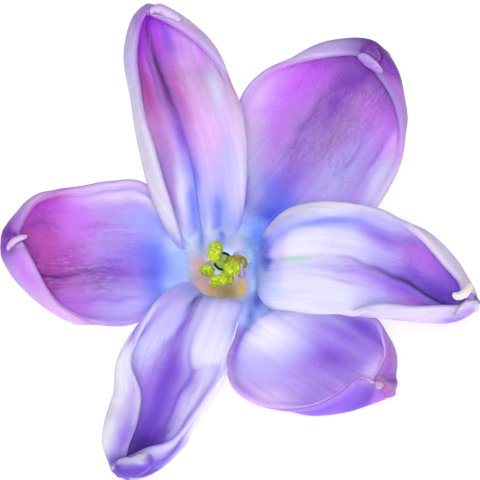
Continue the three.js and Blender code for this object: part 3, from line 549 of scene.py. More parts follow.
            [(384, 338, 0.3), (391, 342, -0.7), (362, 377, -1.8), (308, 415, -0.9), (311, 407, 0.3)],
            [(386, 354, 0.8), (397, 360, -0.5), (378, 384, -1.3), (343, 411, -0.5), (340, 392, 0.9)],
            [(380, 369, 1.1), (394, 374, 0.1), (388, 388, -0.6), (371, 402, 0.0), (354, 379, 1.3)],
            [(375, 378, 1.3), (393, 381, 0.8), (392, 387, 0.5), (386, 395, 0.7), (365, 380, 1.5)],
            [(374, 381, 1.5), (384, 382, 1.4), (386, 386, 1.3), (383, 388, 1.4), (370, 383, 1.6)],
        ],
        "lips": [
            ([(376, 375, 1.4), (382, 383, 1.3), (389, 390, 0.9), (391, 396, 0.5)],
             [0.24, 0.4, 0.5, 0.42], (0.8, 0.85, -1), (0.87, 0.9, -1)),
        ],
        "crepe": 0.25, "rim": 0.3, "rimColour": "pink", "tip": "mauve",
        "inside": [
            # The navy from 0.185 to 0.25: painted shade on the base, under inner_right.
            (-0.45, "olive"), (-0.1, "tan"), (0.04, "tan"), (0.11, "tan"), (0.15, "cornflower"),
            (0.185, "navy"), (0.25, "navy"), (0.285, "lavender"), (0.36, "pearl"), (0.48, "lavender"),
            (0.6, "lilac"), (0.72, "lilac"), (0.8, "blush"),
        ],
        "outside": [
            (-0.7, "leaf"), (-0.3, "lilac"), (0.3, "lilac"), (0.6, "mauve"), (0.85, "violet"),
            (0.98, "mauve"),
        ],
        "insideWashes": [
            # The thin navy line across the base: painted shade.
            ("periwinkle", 0.19, -0.8, 0.07, 0.3, 1.0, 0), ("navy", 0.275, -0.6, 0.4, 0.03, 0.95, -84),
            ("pearl", 0.4, -0.1, 0.1, 0.25, 0.85, 0), ("white", 0.37, -0.3, 0.09, 0.3, 0.75, 0),
            ("violet", 0.36, -0.9, 0.1, 0.16, 1.0, 0), ("lilac", 0.5, 0.3, 0.1, 0.12, 0.6, 0),
            ("violet", 0.58, 0.4, 0.14, 0.08, 0.8, 0), ("violet", 0.62, 0.72, 0.15, 0.22, 1, 0),
            # The royal at 0.34 along, by the upper margin: painted shade under inner_right.
            ("royal", 0.62, 0.66, 0.13, 0.13, 0.6, -8), ("royal", 0.34, 0.93, 0.12, 0.1, 0.6, 0),
            ("violet", 0.58, 0.06, 0.13, 0.22, 1.0, 0), ("purple", 0.6, 0, 0.05, 0.08, 0.4, 0),
            ("pearl", 0.79, 0.2, 0.04, 0.16, 0.8, 0), ("lilac", 0.64, -0.45, 0.06, 0.12, 0.6, 0),
            ("lavender", 0.55, -0.5, 0.08, 0.15, 0.6, 0), ("pink", 0.66, -0.8, 0.1, 0.2, 0.9, 0),
            ("mauve", 0.5, -0.92, 0.1, 0.1, 0.65, 0),
        ],
        "outsideWashes": [
            ("mauve", 0.8, 0.85, 0.1, 0.12, 0.95, 0), ("magenta", 0.87, 0.9, 0.05, 0.06, 0.7, 0),
            ("purple", 0.94, 0.65, 0.02, 0.2, 0.8, 0), ("violet", 0.78, -0.85, 0.1, 0.14, 0.95, 0),
            ("orchid", 0.9, -0.7, 0.03, 0.08, 0.6, 0), ("royal", 0.875, -0.78, 0.15, 0.03, 0.8, -70),
            ("plum", 0.96, -0.3, 0.02, 0.25, 0.6, 0),
        ],
    },
    "inner_lower_left": {
        "angle": -118, "groove": 0.15, "crown": 6, "bead": 0.4,
        "rows": [
            [(226, 302, -0.8), (220, 302, -0.4), (201, 300, 0.2), (190, 290, -0.3), (184, 283, -0.8)],
            [(242, 304, 0.2), (232, 305, 1.0), (197, 306, 1.3), (178, 294, 1.2), (172, 288, 0.5)],
            [(238, 322, 1.2), (226, 323, 1.9), (190, 322, 1.7), (160, 302, 1.8), (152, 305, 1.9)],
            [(233, 340, 1.6), (221, 344, 2.2), (181, 345, 1.8), (134, 331, 1.5), (139, 333, 2.2)],
            [(221, 373, 2.2), (226, 370, 1.4), (172, 368, 1.5), (118, 360, 1.1), (132, 361, 2.2)],
            [(203, 401, 2.0), (213, 399, 0.9), (163, 393, 1.0), (114, 392, 0.7), (142, 391, 2.3)],
            [(184, 427, 1.8), (193, 426, 0.4), (151, 424, 0.3), (104, 424, 0.3), (139, 419, 2.1)],
            [(164, 443, 1.6), (183, 446, 0.1), (137, 452, -0.2), (102, 446, 0.1), (131, 441, 2.0)],
            [(147, 447, 1.7), (158, 469, 0.1), (124, 470, 0.0), (109, 463, 0.3), (127, 452, 2.0)],
            [(134, 453, 1.9), (135, 478, 0.8), (119, 474, 0.8), (112, 467, 0.9), (125, 456, 2.0)],
            [(128, 456, 2.1), (127, 468, 1.8), (120, 467, 1.7), (117, 463, 1.8), (124, 457, 2.1)],
        ],
        "lips": [
            ([(117, 466, 1.7), (123, 467, 2.0), (132, 467, 2.1), (142, 463, 1.9), (152, 457, 1.6)],
             [0.5, 0.82, 0.86, 0.8, 0.55], (0.92, 0.62, -1), (0.93, 0.78, -1)),
        ],
        "crepe": 0.3, "rim": 0.35, "rimColour": "lavender", "tip": "purple",
        "inside": [
            (-0.45, "olive"), (-0.02, "tan"), (0.06, "rose"), (0.14, "rose"), (0.2, "periwinkle"),
            (0.26, "lavender"), (0.3, "lavender"), (0.42, "pearl"), (0.6, "lilac"), (0.85, "violet"),
        ],
        "outside": [
            (-0.7, "leaf"), (-0.3, "lavender"), (0.2, "lavender"), (0.45, "white"), (0.7, "chalk"),
            (0.84, "lavender"), (0.95, "royal"),
        ],
        "insideWashes": [
            ("olive", 0.19, 0.6, 0.04, 0.4, 1, 0), ("lavender", 0.2, -0.6, 0.03, 0.4, 0.9, 0),
            ("pearl", 0.31, 0.5, 0.06, 0.35, 0.8, 0), ("periwinkle", 0.34, 0.97, 0.1, 0.06, 0.95, 0),
            # The navy beside the midrib: painted shade in the groove at the base.
            ("navy", 0.25, -0.22, 0.06, 0.08, 0.9, 0), ("royal", 0.35, -0.12, 0.1, 0.07, 0.9, 35),
            ("pearl", 0.42, 0.55, 0.17, 0.28, 0.9, 0), ("lavender", 0.36, -0.45, 0.08, 0.2, 0.8, 0),
            # Violet, royal and ink along the midrib: partly its own colour, partly painted shade in the
            # channel.
            ("violet", 0.5, 0, 0.17, 0.2, 1.0, 0), ("royal", 0.68, 0.05, 0.17, 0.15, 0.95, 0),
            ("royal", 0.54, -0.03, 0.14, 0.1, 0.8, 0), ("royal", 0.8, 0.03, 0.09, 0.17, 1, 0),
            ("ink", 0.83, 0, 0.05, 0.12, 0.5, 0), ("royal", 0.6, 0.23, 0.2, 0.035, 0.8, 3),
            ("white", 0.65, 0.43, 0.16, 0.1, 0.95, 0), ("white", 0.78, 0.4, 0.05, 0.08, 0.9, 0),
            ("violet", 0.44, -0.68, 0.13, 0.12, 0.9, 0), ("purple", 0.46, -0.78, 0.1, 0.05, 0.8, 0),
            ("lilac", 0.42, -0.85, 0.05, 0.12, 0.7, 0),
        ],
        "outsideWashes": [
            ("violet", 0.46, 0.9, 0.03, 0.15, 0.8, 0), ("white", 0.6, 0.85, 0.13, 0.14, 0.95, 0),
            ("pearl", 0.85, 0.96, 0.07, 0.05, 0.8, 0), ("royal", 0.83, 0.86, 0.14, 0.035, 0.9, -31),
            ("royal", 0.92, 0.73, 0.03, 0.08, 0.95, 0), ("white", 0.92, 0.62, 0.06, 0.05, 0.9, 0),
            ("violet", 0.4, -0.93, 0.06, 0.1, 0.95, 0), ("white", 0.5, -0.83, 0.05, 0.12, 0.9, 0),
            ("white", 0.63, -0.8, 0.02, 0.14, 0.7, 0), ("lilac", 0.6, -0.93, 0.08, 0.06, 0.6, 0),
            ("white", 0.78, -0.76, 0.12, 0.09, 0.95, 0), ("violet", 0.8, -0.96, 0.14, 0.09, 0.9, 0),
            ("royal", 0.9, -0.8, 0.04, 0.1, 1, 0), ("white", 0.955, -0.7, 0.015, 0.05, 0.8, 0),
            ("periwinkle", 0.3, 0.99, 0.2, 0.06, 0.95, 0),
        ],
    },
    "outer_left": {
        "angle": -178, "groove": 0.12, "crown": -4, "bead": 0.38,
        "rows": [
            [(187, 292, -1.7), (185, 288, -1.5), (180, 271, -1.2), (180, 246, -1.7), (184, 240, -1.9)],
            [(160, 312, -1.3), (160, 306, -1.6), (158, 272, -1.8), (166, 216, -1.6), (168, 206, -1.4)],
            [(130, 325, -1.0), (131, 317, -1.5), (128, 270, -2.1), (140, 190, -1.5), (142, 181, -1.1)],
            [(100, 326, -0.7), (103, 320, -1.3), (98, 269, -2.2), (108, 189, -1.6), (108, 180, -1.1)],
            [(78, 317, 0.1), (74, 324, -1.1), (72, 273, -2.1), (80, 194, -1.5), (80, 185, -0.9)],
            [(58, 304, 0.6), (46, 309, -0.9), (50, 275, -1.8), (55, 192, -1.0), (56, 191, -0.2)],
            [(45, 285, 1.0), (26, 292, -0.7), (32, 270, -1.5), (37, 194, -0.4), (36, 201, 0.5)],
            [(34, 262, 1.2), (10, 273, -0.3), (15, 258, -0.9), (20, 209, -0.1), (26, 214, 0.9)],
            [(26, 247, 1.4), (4, 257, 0.3), (4, 248, 0.0), (6, 228, 0.3), (20, 229, 1.3)],
            [(22, 241, 1.5), (11, 246, 1.1), (9, 242, 1.0), (11, 235, 1.1), (19, 235, 1.5)],
        ],
        "lips": [
            ([(28, 236, 1.8), (22, 237.5, 2.0), (16, 240, 2.0), (10.5, 244.5, 1.6), (7, 250, 1.0)],
             [0.14, 0.24, 0.24, 0.24, 0.12], (0.96, 0.92, -1), (0.96, 0.92, -1)),
        ],
        "crepe": 1.0, "rim": 0.3, "rimColour": "pink", "tip": "white",
        "inside": [
            (-0.45, "tan"), (-0.1, "peach"), (0.02, "peach"), (0.07, "ice"), (0.13, "sky"), (0.2, "blue"),
            (0.28, "blue"), (0.37, "lilac"), (0.5, "lilac"), (0.64, "orchid"), (0.74, "magenta"),
            (0.88, "magenta"), (0.94, "fuchsia"),
        ],
        "outside": [
            (-0.7, "leaf"), (-0.3, "lilac"), (0.3, "lilac"), (0.6, "mauve"), (0.85, "lilac"),
            (0.97, "purple"),
        ],
        "insideWashes": [
            ("pearl", 0.04, -0.7, 0.08, 0.3, 0.95, 0), ("cornflower", 0.2, 0.3, 0.05, 0.2, 0.6, 0),
            ("deepBlue", 0.27, 0.02, 0.07, 0.17, 0.8, 0), ("blue", 0.33, -0.14, 0.07, 0.12, 0.7, 0),
            ("periwinkle", 0.26, -0.45, 0.1, 0.15, 0.85, 0), ("lavender", 0.38, 0.6, 0.1, 0.3, 0.75, 0),
            ("violet", 0.42, 0.05, 0.12, 0.2, 0.9, 0), ("violet", 0.52, 0.1, 0.12, 0.12, 0.7, 0),
            ("lilac", 0.48, 0.35, 0.1, 0.1, 0.6, 0), ("violet", 0.48, 0.46, 0.14, 0.04, 0.6, -3),
            ("periwinkle", 0.38, -0.4, 0.08, 0.1, 0.8, 0), ("lilac", 0.48, -0.35, 0.08, 0.1, 0.6, 0),
            ("orchid", 0.6, -0.4, 0.1, 0.12, 0.9, 0), ("pink", 0.46, -0.67, 0.17, 0.07, 0.95, -14),
            ("pearl", 0.36, -0.68, 0.07, 0.07, 0.8, 0), ("pink", 0.5, -0.9, 0.2, 0.1, 0.9, 0),
            ("mauve", 0.6, 0.15, 0.13, 0.16, 0.8, 0), ("magenta", 0.7, 0.05, 0.15, 0.22, 0.7, 0),
            ("magenta", 0.75, -0.2, 0.12, 0.17, 0.75, 0), ("fuchsia", 0.78, -0.52, 0.12, 0.12, 0.6, 0),
            ("purple", 0.8, -0.38, 0.07, 0.03, 0.7, 0), ("purple", 0.6, 0.07, 0.11, 0.04, 0.7, 0),
            ("plum", 0.71, 0.055, 0.08, 0.035, 1, 0), ("orchid", 0.62, 0.5, 0.08, 0.15, 0.6, 0),
            ("lilac", 0.45, 0.9, 0.12, 0.1, 0.7, 0),
        ],
        "outsideWashes": [
            ("blush", 0.66, 0.88, 0.18, 0.16, 0.9, 0), ("orchid", 0.86, 0.9, 0.09, 0.12, 0.9, 0),
            ("white", 0.62, 0.76, 0.06, 0.05, 0.6, 0), ("pink", 0.96, 0.92, 0.02, 0.1, 0.8, 0),
            ("blush", 0.78, -0.86, 0.1, 0.12, 0.8, 0), ("orchid", 0.91, -0.92, 0.04, 0.07, 0.9, 0),
            ("purple", 0.94, -0.79, 0.03, 0.08, 0.9, 0),
        ],
    },
}

blade = {
    "stations": 120,
    "cross": 88,
    "claw": [(2.17, -2.6), (layout["rootRadius"], -layout["rootDepth"]), (layout["rimRadius"], 0.0)],
    "halfAngle": 33.0,  # half of the rim that a claw takes, a little over its share
    "clawEnd": 0.14,
    "apex": 0.18,  # the last row again, at this size
    "end": 0.985,
    "foldShare": 0.7,  # where the blade turns into its folded margin
    "foldInset": 0.31,
    "marginInset": 0.06,
    "insetFrom": 0.15,
    "foldPull": 0.8,  # how roundly the blade runs into the fold, and the margin out of it
    "marginPull": 1.2,
    "tipLift": -6,  # degrees
    "grooveRun": [(0, 0), (0.3, 0.5), (0.55, 1), (0.9, 0.6), (1, 0)],
    "grooveWidth": 0.14,
    "midThickness": 0.95,
    "edgeThickness": 0.56,
    "tubeThickness": 0.8,
    "roundedFrom": 0.91,
    "tipThinning": 0.7,
    "lobe": (0.08, 0.3),  # where the tube's wall passes into the lobe's
    "ruffle": 0.09,  # mm high, and below the mm from one to the next, along and across
    "ruffleRun": 2.6,
    "broad": 0.10,
    "broadRun": (4.0, 1.6),
    "wrinkle": 0.035,
    "wrinkleRun": (1.5, 0.7),
    "wrinklePatch": 3.2,
    "rib": 0.12,
    "nestle": (0.025, 0.06),  # the inner tepals' claws stand this far proud, and less at their margins
}

# The tube, from its rim to its foot: distance behind the rim, middle of the wall, thickness.
tubeWall = [
    (layout["rootDepth"], layout["rootRadius"], 0.8), (2.0, 2.35, 0.8), (3.2, 2.01, 0.78), (4.6, 1.82, 0.8),
    (7, 1.9, 0.8), (9, 2.39, 0.82), (10.8, 2.82, 0.85), (12.2, 2.77, 0.86), (13.1, 2.43, 0.95),
    (13.8, 1.85, 1.0), (14.2, 1.2, 0.95), (14.3, 0.6, 0.9),
]
tubeStations = 46

# Where the throat narrows: place along the axis from the rim, height and length of each swelling, in mm.
throatLining = [(-1.0, 0.32, 2.0), (-5.2, 0.60, 2.2)]

# How the throat's colours, their painted shade and its painted glow fade out: over height, over distance
# from its middle, towards the foot.
throatFade = {"height": (0.1, -1.6), "spread": (5.6, 4.2), "foot": (-12.0, -8.0)}

bead = {"rings": 20, "sides": 28, "lump": (0.10, 2.2), "grain": (0.04, 7), "place": 0.97}
lip = {"rings": 30, "sides": 20, "lump": (0.16, 2.6), "grain": (0.06, 8), "endShare": 0.2}


def runOf(points):
    return np.concatenate([[0], np.cumsum(np.linalg.norm(np.diff(points, axis=0), axis=1))])


def middleOf(rows):
    return (rows[:, 0] + rows[:, 1] + 2 * rows[:, 2] + rows[:, 3] + rows[:, 4]) / 6


def strides(rows):
    step = lambda points: np.linalg.norm(np.diff(points, axis=0), axis=1)
    return 0.5 * step(rows[:, 2]) + 0.5 * step(middleOf(rows))


# Rows of points, joined smoothly and read at the wanted places.
def readRows(rows, places, wanted):
    h = np.diff(places)[:, None, None]
    slope = np.diff(rows, axis=0) / h
    m = np.zeros_like(rows)
    m[1:-1] = (slope[:-1] * h[1:] + slope[1:] * h[:-1]) / (h[1:] + h[:-1])
    m[0] = 1.5 * slope[0] - 0.5 * m[1]
    m[-1] = 1.5 * slope[-1] - 0.5 * m[-2]
    i = np.clip(np.searchsorted(places, wanted, side="right") - 1, 0, len(places) - 2)
    step = np.diff(places)[i]
    s = ((wanted - places[i]) / step)[:, None, None]
    step = step[:, None, None]
    return hermite(rows[i], step * m[i], rows[i + 1], step * m[i + 1], s)


def bladeMiddle(tepal):
    angles = np.array([1, blade["foldShare"], 0, -blade["foldShare"], -1]) * blade["halfAngle"]
    claw = [[tubePoint(tepal["angle"] + a, radius, forward) for a in angles]
            for radius, forward in blade["claw"]]
    rows = np.array(claw + [[facePoint(g) for g in row] for row in tepal["rows"]])
    apex = rows[-1].mean(axis=0)
    rows = np.concatenate([rows, (apex + blade["apex"] * (rows[-1] - apex))[None]])
    places = np.concatenate([[0], np.cumsum(np.sqrt(strides(rows)))])
    fine = np.linspace(places[1], places[-1], 500)
    run = np.concatenate([[0], np.cumsum(strides(readRows(rows, places, fine)))])
    u = np.linspace(0, blade["end"], blade["stations"] + 1)
    at = np.interp(u * run[-1], run, fine)
    row = readRows(rows, places, at)
    nudge = 0.002 * places[-1]
    ahead = readRows(rows, places, np.clip(at + nudge, 0, places[-1]))[:, 2]
    behind = readRows(rows, places, np.clip(at - nudge, 0, places[-1]))[:, 2]
    out = unit(ahead - behind)
    s = np.linspace(-1, 1, blade["cross"] + 1)
    v = s * (1.3 - 0.3 * s * s)  # closer together at the margins
    points = np.zeros((len(u), len(v), 3))
    settle = np.clip(u / blade["insetFrom"], 0, 1)[:, None]
    lift = np.radians(ramp([(0, 0), (0.3, tepal["crown"]), (1, blade["tipLift"])], u))[:, None]
    groove = (tepal["groove"] * ramp(blade["grooveRun"], u))[:, None]
    midrib = row[:, 2]
    for side, foldColumn, marginColumn in ((1, 1, 0), (-1, 3, 4)):
        fold = row[:, foldColumn] - unit(row[:, foldColumn] - midrib) * blade["foldInset"] * settle
        margin = row[:, marginColumn] + unit(fold - row[:, marginColumn]) * blade["marginInset"] * settle
        chord, edge = fold - midrib, margin - fold
        reach = np.linalg.norm(chord, axis=1)[:, None]
        edgeReach = np.linalg.norm(edge, axis=1)[:, None]
        way, edgeWay = unit(chord), unit(edge)
        across = unit(chord - (chord * out).sum(1)[:, None] * out)
        face = unit(np.cross(out, across)) * side
        leave = unit(way * np.cos(lift) + face * np.sin(lift))
        turned = (1 + np.clip(-(edgeWay * way).sum(1), -1, 1))[:, None] / 2
        upright = unit(face - (face * way).sum(1)[:, None] * way)
        turn = unit(unit(margin - midrib) * (1 - turned) + upright * 1.2 * turned)
        for j in np.where(v * side >= -1e-9)[0]:
            share = abs(v[j])
            if share <= blade["foldShare"]:
                q = share / blade["foldShare"]
                points[:, j] = hermite(midrib, reach * leave, fold, reach * blade["foldPull"] * turn, q)
                points[:, j] -= face * groove * math.exp(-((share / blade["grooveWidth"]) ** 2))
            else:
                q = (share - blade["foldShare"]) / (1 - blade["foldShare"])
                points[:, j] = hermite(fold, edgeReach * blade["marginPull"] * turn, margin, edge, q)
    arc = np.array([tubePoint(tepal["angle"] + a, layout["rootRadius"], -layout["rootDepth"])
                    for a in v * blade["halfAngle"]])
    points += (arc - points[0])[None] * (1 - smooth(0, blade["clawEnd"], u))[:, None, None]
    return points, u, v


def tubeMiddle(tepal, v):
    knots = np.array(tubeWall)
    path = knots[:, :2]
    run = runOf(path)
    rows = np.repeat(np.pad(path, ((0, 0), (0, 1)))[:, None], 5, axis=1)
    wanted = np.linspace(0, run[-1], tubeStations + 1)[1:]
    curve = readRows(rows, run, wanted)[:, 2]
    thickness = np.interp(wanted, run, knots[:, 2])
    points = np.array([[tubePoint(tepal["angle"] + a, radius, -behind) for a in v * blade["halfAngle"]]
                       for behind, radius, _ in curve])
    return points[::-1], -wanted[::-1], thickness[::-1]


def normalsOf(grid):
    along = np.gradient(grid, axis=0)
    across = np.gradient(grid, axis=1)
    return unit(np.cross(along, across))


def throatOf(points):
    spread = np.hypot(points[:, 0], points[:, 1])
    amount = (smooth(*throatFade["height"], points[:, 2]) * smooth(*throatFade["spread"], spread)
              * smooth(*throatFade["foot"], points[:, 2]))
    step = layout["gridStep"]
    column, row = layout["throatColumn"] + points[:, 0] / step, layout["throatRow"] - points[:, 1] / step
    return np.stack([column, row, amount], -1)


# Skin over a first point, rings of points and a last point.
def ringFaces(first, rings, sides, outward=True):
    last = first + (rings - 1) * sides + 1
    spot = lambda i, j: first + 1 + (i - 1) * sides + j % sides
    faces = []
    for j in range(sides):
        faces.append((first, spot(1, j), spot(1, j + 1)))
        faces.append((last, spot(rings - 1, j + 1), spot(rings - 1, j)))
        for i in range(1, rings - 1):
            faces.append((spot(i, j), spot(i + 1, j), spot(i + 1, j + 1), spot(i, j + 1)))
    return faces if outward else [face[:1] + face[:0:-1] for face in faces]


def swelling(piece, at, seed):
    (lump, lumpScale), (grain, grainScale) = piece["lump"], piece["grain"]
    coarse = noise.noise(at * lumpScale + Vector((seed, 0, 0)))
    return 1 + lump * coarse + grain * noise.noise(at * grainScale)


def lipLine(path):
    points = np.array(sorted(facePoint(g)[:2] for g in path))
    return points[:, 0], points[:, 1]


def lipShape(path, radii, seed):
    path = np.array(path)
    run = runOf(path)
    count, sides = lip["rings"], lip["sides"]
    t = np.sin(np.linspace(-math.pi / 2, math.pi / 2, count + 1)) * 0.5 + 0.5
    centres = readRows(np.repeat(path[:, None], 5, axis=1), run, t * run[-1])[:, 2]
    fromEnd = np.clip(np.abs(2 * t - 1) - (1 - lip["endShare"]), 0, 1) / lip["endShare"]
    radius = np.interp(t * run[-1], run, radii) * np.sqrt(np.clip(1 - fromEnd ** 2, 0.0, 1))
    ways = unit(np.gradient(centres, axis=0))
    points = [centres[0]]
    for i in range(1, count):
        side = unit(np.cross(ways[i], np.array([0.0, 0.0, 1.0])))
        rise = np.cross(side, ways[i])
        for j in range(sides):
            a = 2 * math.pi * j / sides
            way = side * math.cos(a) + rise * math.sin(a)
            at = Vector(centres[i] + way * radius[i])
            points.append(centres[i] + way * radius[i] * swelling(lip, at, seed))
    points.append(centres[-1])
    return np.array(points)


def beadShape(tepal, seed):
    centre = np.mean([facePoint(g) for g in tepal["rows"][-1]], axis=0)
    rings, sides, radius = bead["rings"], bead["sides"], tepal["bead"]
    points = [centre + np.array([0, 0, radius])]
    for i in range(1, rings):
        for j in range(sides):
            a, b = math.pi * i / rings, 2 * math.pi * j / sides
            way = Vector((math.sin(a) * math.cos(b), math.sin(a) * math.sin(b), math.cos(a)))
            points.append(centre + np.array(way) * radius * swelling(bead, way, seed))
    points.append(centre - np.array([0, 0, radius]))
    return np.array(points)


# A mesh whose materials read the named vectors or values at its points.
def newMesh(name, points, faces, vectors, values):
    mesh = bpy.data.meshes.new(name)
    mesh.from_pydata(points, [], faces)
    for kind, field, named in (("FLOAT_VECTOR", "vector", vectors), ("FLOAT", "value", values)):
        for attributeName, data in named.items():
            attribute = mesh.attributes.new(attributeName, kind, "POINT")
            attribute.data.foreach_set(field, data.astype(np.float32).ravel())
    return mesh


def tepalMesh(name, tepal, seed):
    lobe, u, v = bladeMiddle(tepal)
    tube, back, tubeThickness = tubeMiddle(tepal, v)
    grid = np.concatenate([tube, lobe])
    length = np.linalg.norm(np.diff(lobe[:, len(v) // 2], axis=0), axis=1).sum() / blade["end"]
    uAll = np.concatenate([back / length, u])
    share = np.abs(v)[None]
    inLobe = smooth(*blade["lobe"], uAll)[:, None]
    normals = normalsOf(grid)

    # Distances on the sheet, in mm, for wrinkles and for the finish.
    alongMm = np.repeat((uAll * length)[:, None], len(v), axis=1)
    steps = np.linalg.norm(np.diff(grid, axis=1), axis=2)
    acrossMm = np.concatenate([np.zeros((len(uAll), 1)), np.cumsum(steps, axis=1)], axis=1)
    acrossMm -= acrossMm[:, len(v) // 2][:, None]

    runs = alongMm / blade["ruffleRun"] + 9 * (acrossMm > 0)
    ruffle = softNoise(runs, acrossMm * 0, seed) * blade["ruffle"]
    ruffle = ruffle * smooth(0.6, 1.0, share) * inLobe
    runLong, runWide = blade["broadRun"]
    broad = softNoise(alongMm / runLong, acrossMm / runWide, seed + 1) * blade["broad"]
    broad = broad * inLobe * (1 - share ** 2)
    runLong, runWide = blade["wrinkleRun"]
    fine = softNoise(alongMm / runLong + 0.4 * acrossMm, acrossMm / runWide, seed + 2)
    patch = blade["wrinklePatch"]
    fine = fine * smooth(-0.1, 0.5, softNoise(alongMm / patch, acrossMm / patch, seed + 3))
    fine = fine * blade["wrinkle"] * tepal["crepe"] * inLobe * (1 - smooth(0.3, 0.7, share))
    grid = grid + normals * (ruffle + broad + fine)[..., None]
    normals = normalsOf(grid)

    tubeAll = np.concatenate([tubeThickness, np.full(len(u), blade["tubeThickness"])])[:, None]
    thick = blade["edgeThickness"] + (blade["midThickness"] - blade["edgeThickness"]) * (1 - share ** 1.5)
    thick = tubeAll + (thick - tubeAll) * inLobe
    fromEdge = np.clip(share - blade["roundedFrom"], 0, 1) / (1 - blade["roundedFrom"])
    rounding = np.sqrt(np.clip(1 - fromEdge ** 2, 0, 1))
    rounding = 1 + (rounding - 1) * smooth(0.06, 0.16, uAll)[:, None]
    half = 0.5 * thick * rounding
    ends = 1 - blade["tipThinning"] * smooth(0.93, 1.0, uAll / blade["end"])[:, None]
    half = half * ends
    funnel = sum(high * np.exp(-(((alongMm - at) / long) ** 2)) for at, high, long in throatLining)
    proud, sunk = blade["nestle"] if name.startswith("tepal_inner") else (0.0, 0.0)
    nestle = (proud - sunk * smooth(0.9, 1.0, share)) * (1 - inLobe)
    rib = blade["rib"] * (1 - inLobe) * smooth(-0.75, -0.3, uAll)[:, None] * np.cos(np.pi * v)[None]
    inner = grid + normals * (half + funnel + nestle)[..., None]
    outer = grid - normals * (half + rib * rounding)[..., None]

    stations, wide = len(uAll), len(v)
    top = np.arange(stations * wide).reshape(stations, wide)
    under = np.full((stations, wide), -1)
    under[:, 1:-1] = top.size + np.arange(stations * (wide - 2)).reshape(stations, wide - 2)
    under[:, 0], under[:, -1] = top[:, 0], top[:, -1]
    vertices = np.concatenate([inner.reshape(-1, 3), outer[:, 1:-1].reshape(-1, 3)])
    faces = []
    for i in range(stations - 1):
        for j in range(wide - 1):
            faces.append((top[i, j], top[i + 1, j], top[i + 1, j + 1], top[i, j + 1]))
            faces.append((under[i, j], under[i, j + 1], under[i + 1, j + 1], under[i + 1, j]))
    for j in range(wide - 1):
        for i, turn in ((0, 1), (stations - 1, -1)):
            ring = dict.fromkeys((top[i, j], top[i, j + 1], under[i, j + 1], under[i, j]))
            faces.append(tuple(ring)[::turn])
    skin = np.concatenate([np.where(share[0] < 1, 1.0, 0.0)[None].repeat(stations, 0).ravel(),
                           np.full(stations * (wide - 2), -1.0)])
    sheetSide = np.where(skin < 0, 40.0, 0.0)  # so that the two skins have different wrinkles
    flat = lambda a: np.concatenate([a.ravel(), a[:, 1:-1].ravel()])
    uGrid = np.repeat(uAll[:, None], wide, axis=1)
    vGrid = np.repeat(v[None], stations, axis=0)
    placeData = np.stack([flat(uGrid), flat(vGrid), skin], -1)
    sheetData = np.stack([flat(alongMm), flat(acrossMm) + seed * 7.3, sheetSide], -1)

    # The thick bead that closes the hooded tip.
    beadPoints = beadShape(tepal, seed)
    faces += ringFaces(len(vertices), bead["rings"], bead["sides"])
    vertices = np.concatenate([vertices, beadPoints])
    beadPlace = np.zeros((len(beadPoints), 3))
    beadPlace[:, 0] = bead["place"]
    placeData = np.concatenate([placeData, beadPlace])
    sheetData = np.concatenate([sheetData, beadPoints])

    # Thick lips where the folded margins meet.
    for path, radii, upper, lower in tepal["lips"]:
        lipPoints = lipShape([facePoint(g) for g in path], radii, seed)
        faces += ringFaces(len(vertices), lip["rings"], lip["sides"], outward=False)
        vertices = np.concatenate([vertices, lipPoints])
        height = lipPoints[:, 1] - np.interp(lipPoints[:, 0], *lipLine(path))
        share = np.clip(height / max(radii) * 0.5 + 0.5, 0, 1)[:, None]
        placeData = np.concatenate([placeData, np.array(lower) + (np.array(upper) - np.array(lower)) * share])
        sheetData = np.concatenate([sheetData, lipPoints])

    faces = [tuple(int(k) for k in f) for f in faces]
    vectors = {"place": placeData, "sheet": sheetData, "throat": throatOf(vertices)}
    return newMesh(name, vertices.tolist(), faces, vectors, {})


def placePiece(name, mesh, material, slot, *nodes):
    mesh.transform(restMatrix)
    mesh.polygons.foreach_set("use_smooth", [True] * len(mesh.polygons))
    mesh.materials.append(material)
    piece = bpy.data.objects.new(name, mesh)
    bpy.context.scene.collection.objects.link(piece)
    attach(piece, "root")
    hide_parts(*nodes)


for seed, (name, tepal) in enumerate(tepals.items(), start=3):
    material = petalMaterial("Hyacinth petal " + name.replace("_", " "), tepal)
    placePiece("tepal_" + name, tepalMesh("tepal_" + name, tepal, seed), material, "petal", "perianth")
print("tepals and tube in place")


# Pollen sacs: matt and granular, yellow-green, gone over to ochre on the ripest. Four tones, low to high:
# the higher a grain stands the paler it is, painted highlight on the grains and painted shade between them.
def antherMaterial(name, *tones):
    material, tree, shader, add = newMaterial(name)
    grain = add("Attribute", {"attribute_name": "grain"}).outputs["Fac"]
    sheet = add("Attribute", {"attribute_name": "sheet"}).outputs["Vector"]
    speck = add("TexVoronoi", {"Scale": 7.0}, {"Vector": sheet})
    # The grain's height, less its speckle, sets painted highlight and shade.
    mixed = add("Math", {"operation": "MULTIPLY_ADD", 1: -0.25}, {0: speck, 2: grain})
    lit = add("Math", {"operation": "ADD", 1: 0.1}, {0: mixed})
    colour = add("ValToRGB", {}, {0: lit}, list(zip((0.0, 0.35, 0.7, 1.0), map(linear, tones))))
    bump = add("Bump", {"Strength": 0.6, "Distance": 0.0001}, {"Height": speck})
    setNode(tree, shader, {
        "Roughness": 0.6,
        "IOR": 1.45,
        "Subsurface Weight": 0.2,
        "Subsurface Radius": (0.8, 1.0, 0.3),
        "Subsurface Scale": 0.0003,
    }, {"Base Color": colour, "Normal": bump})
    return material


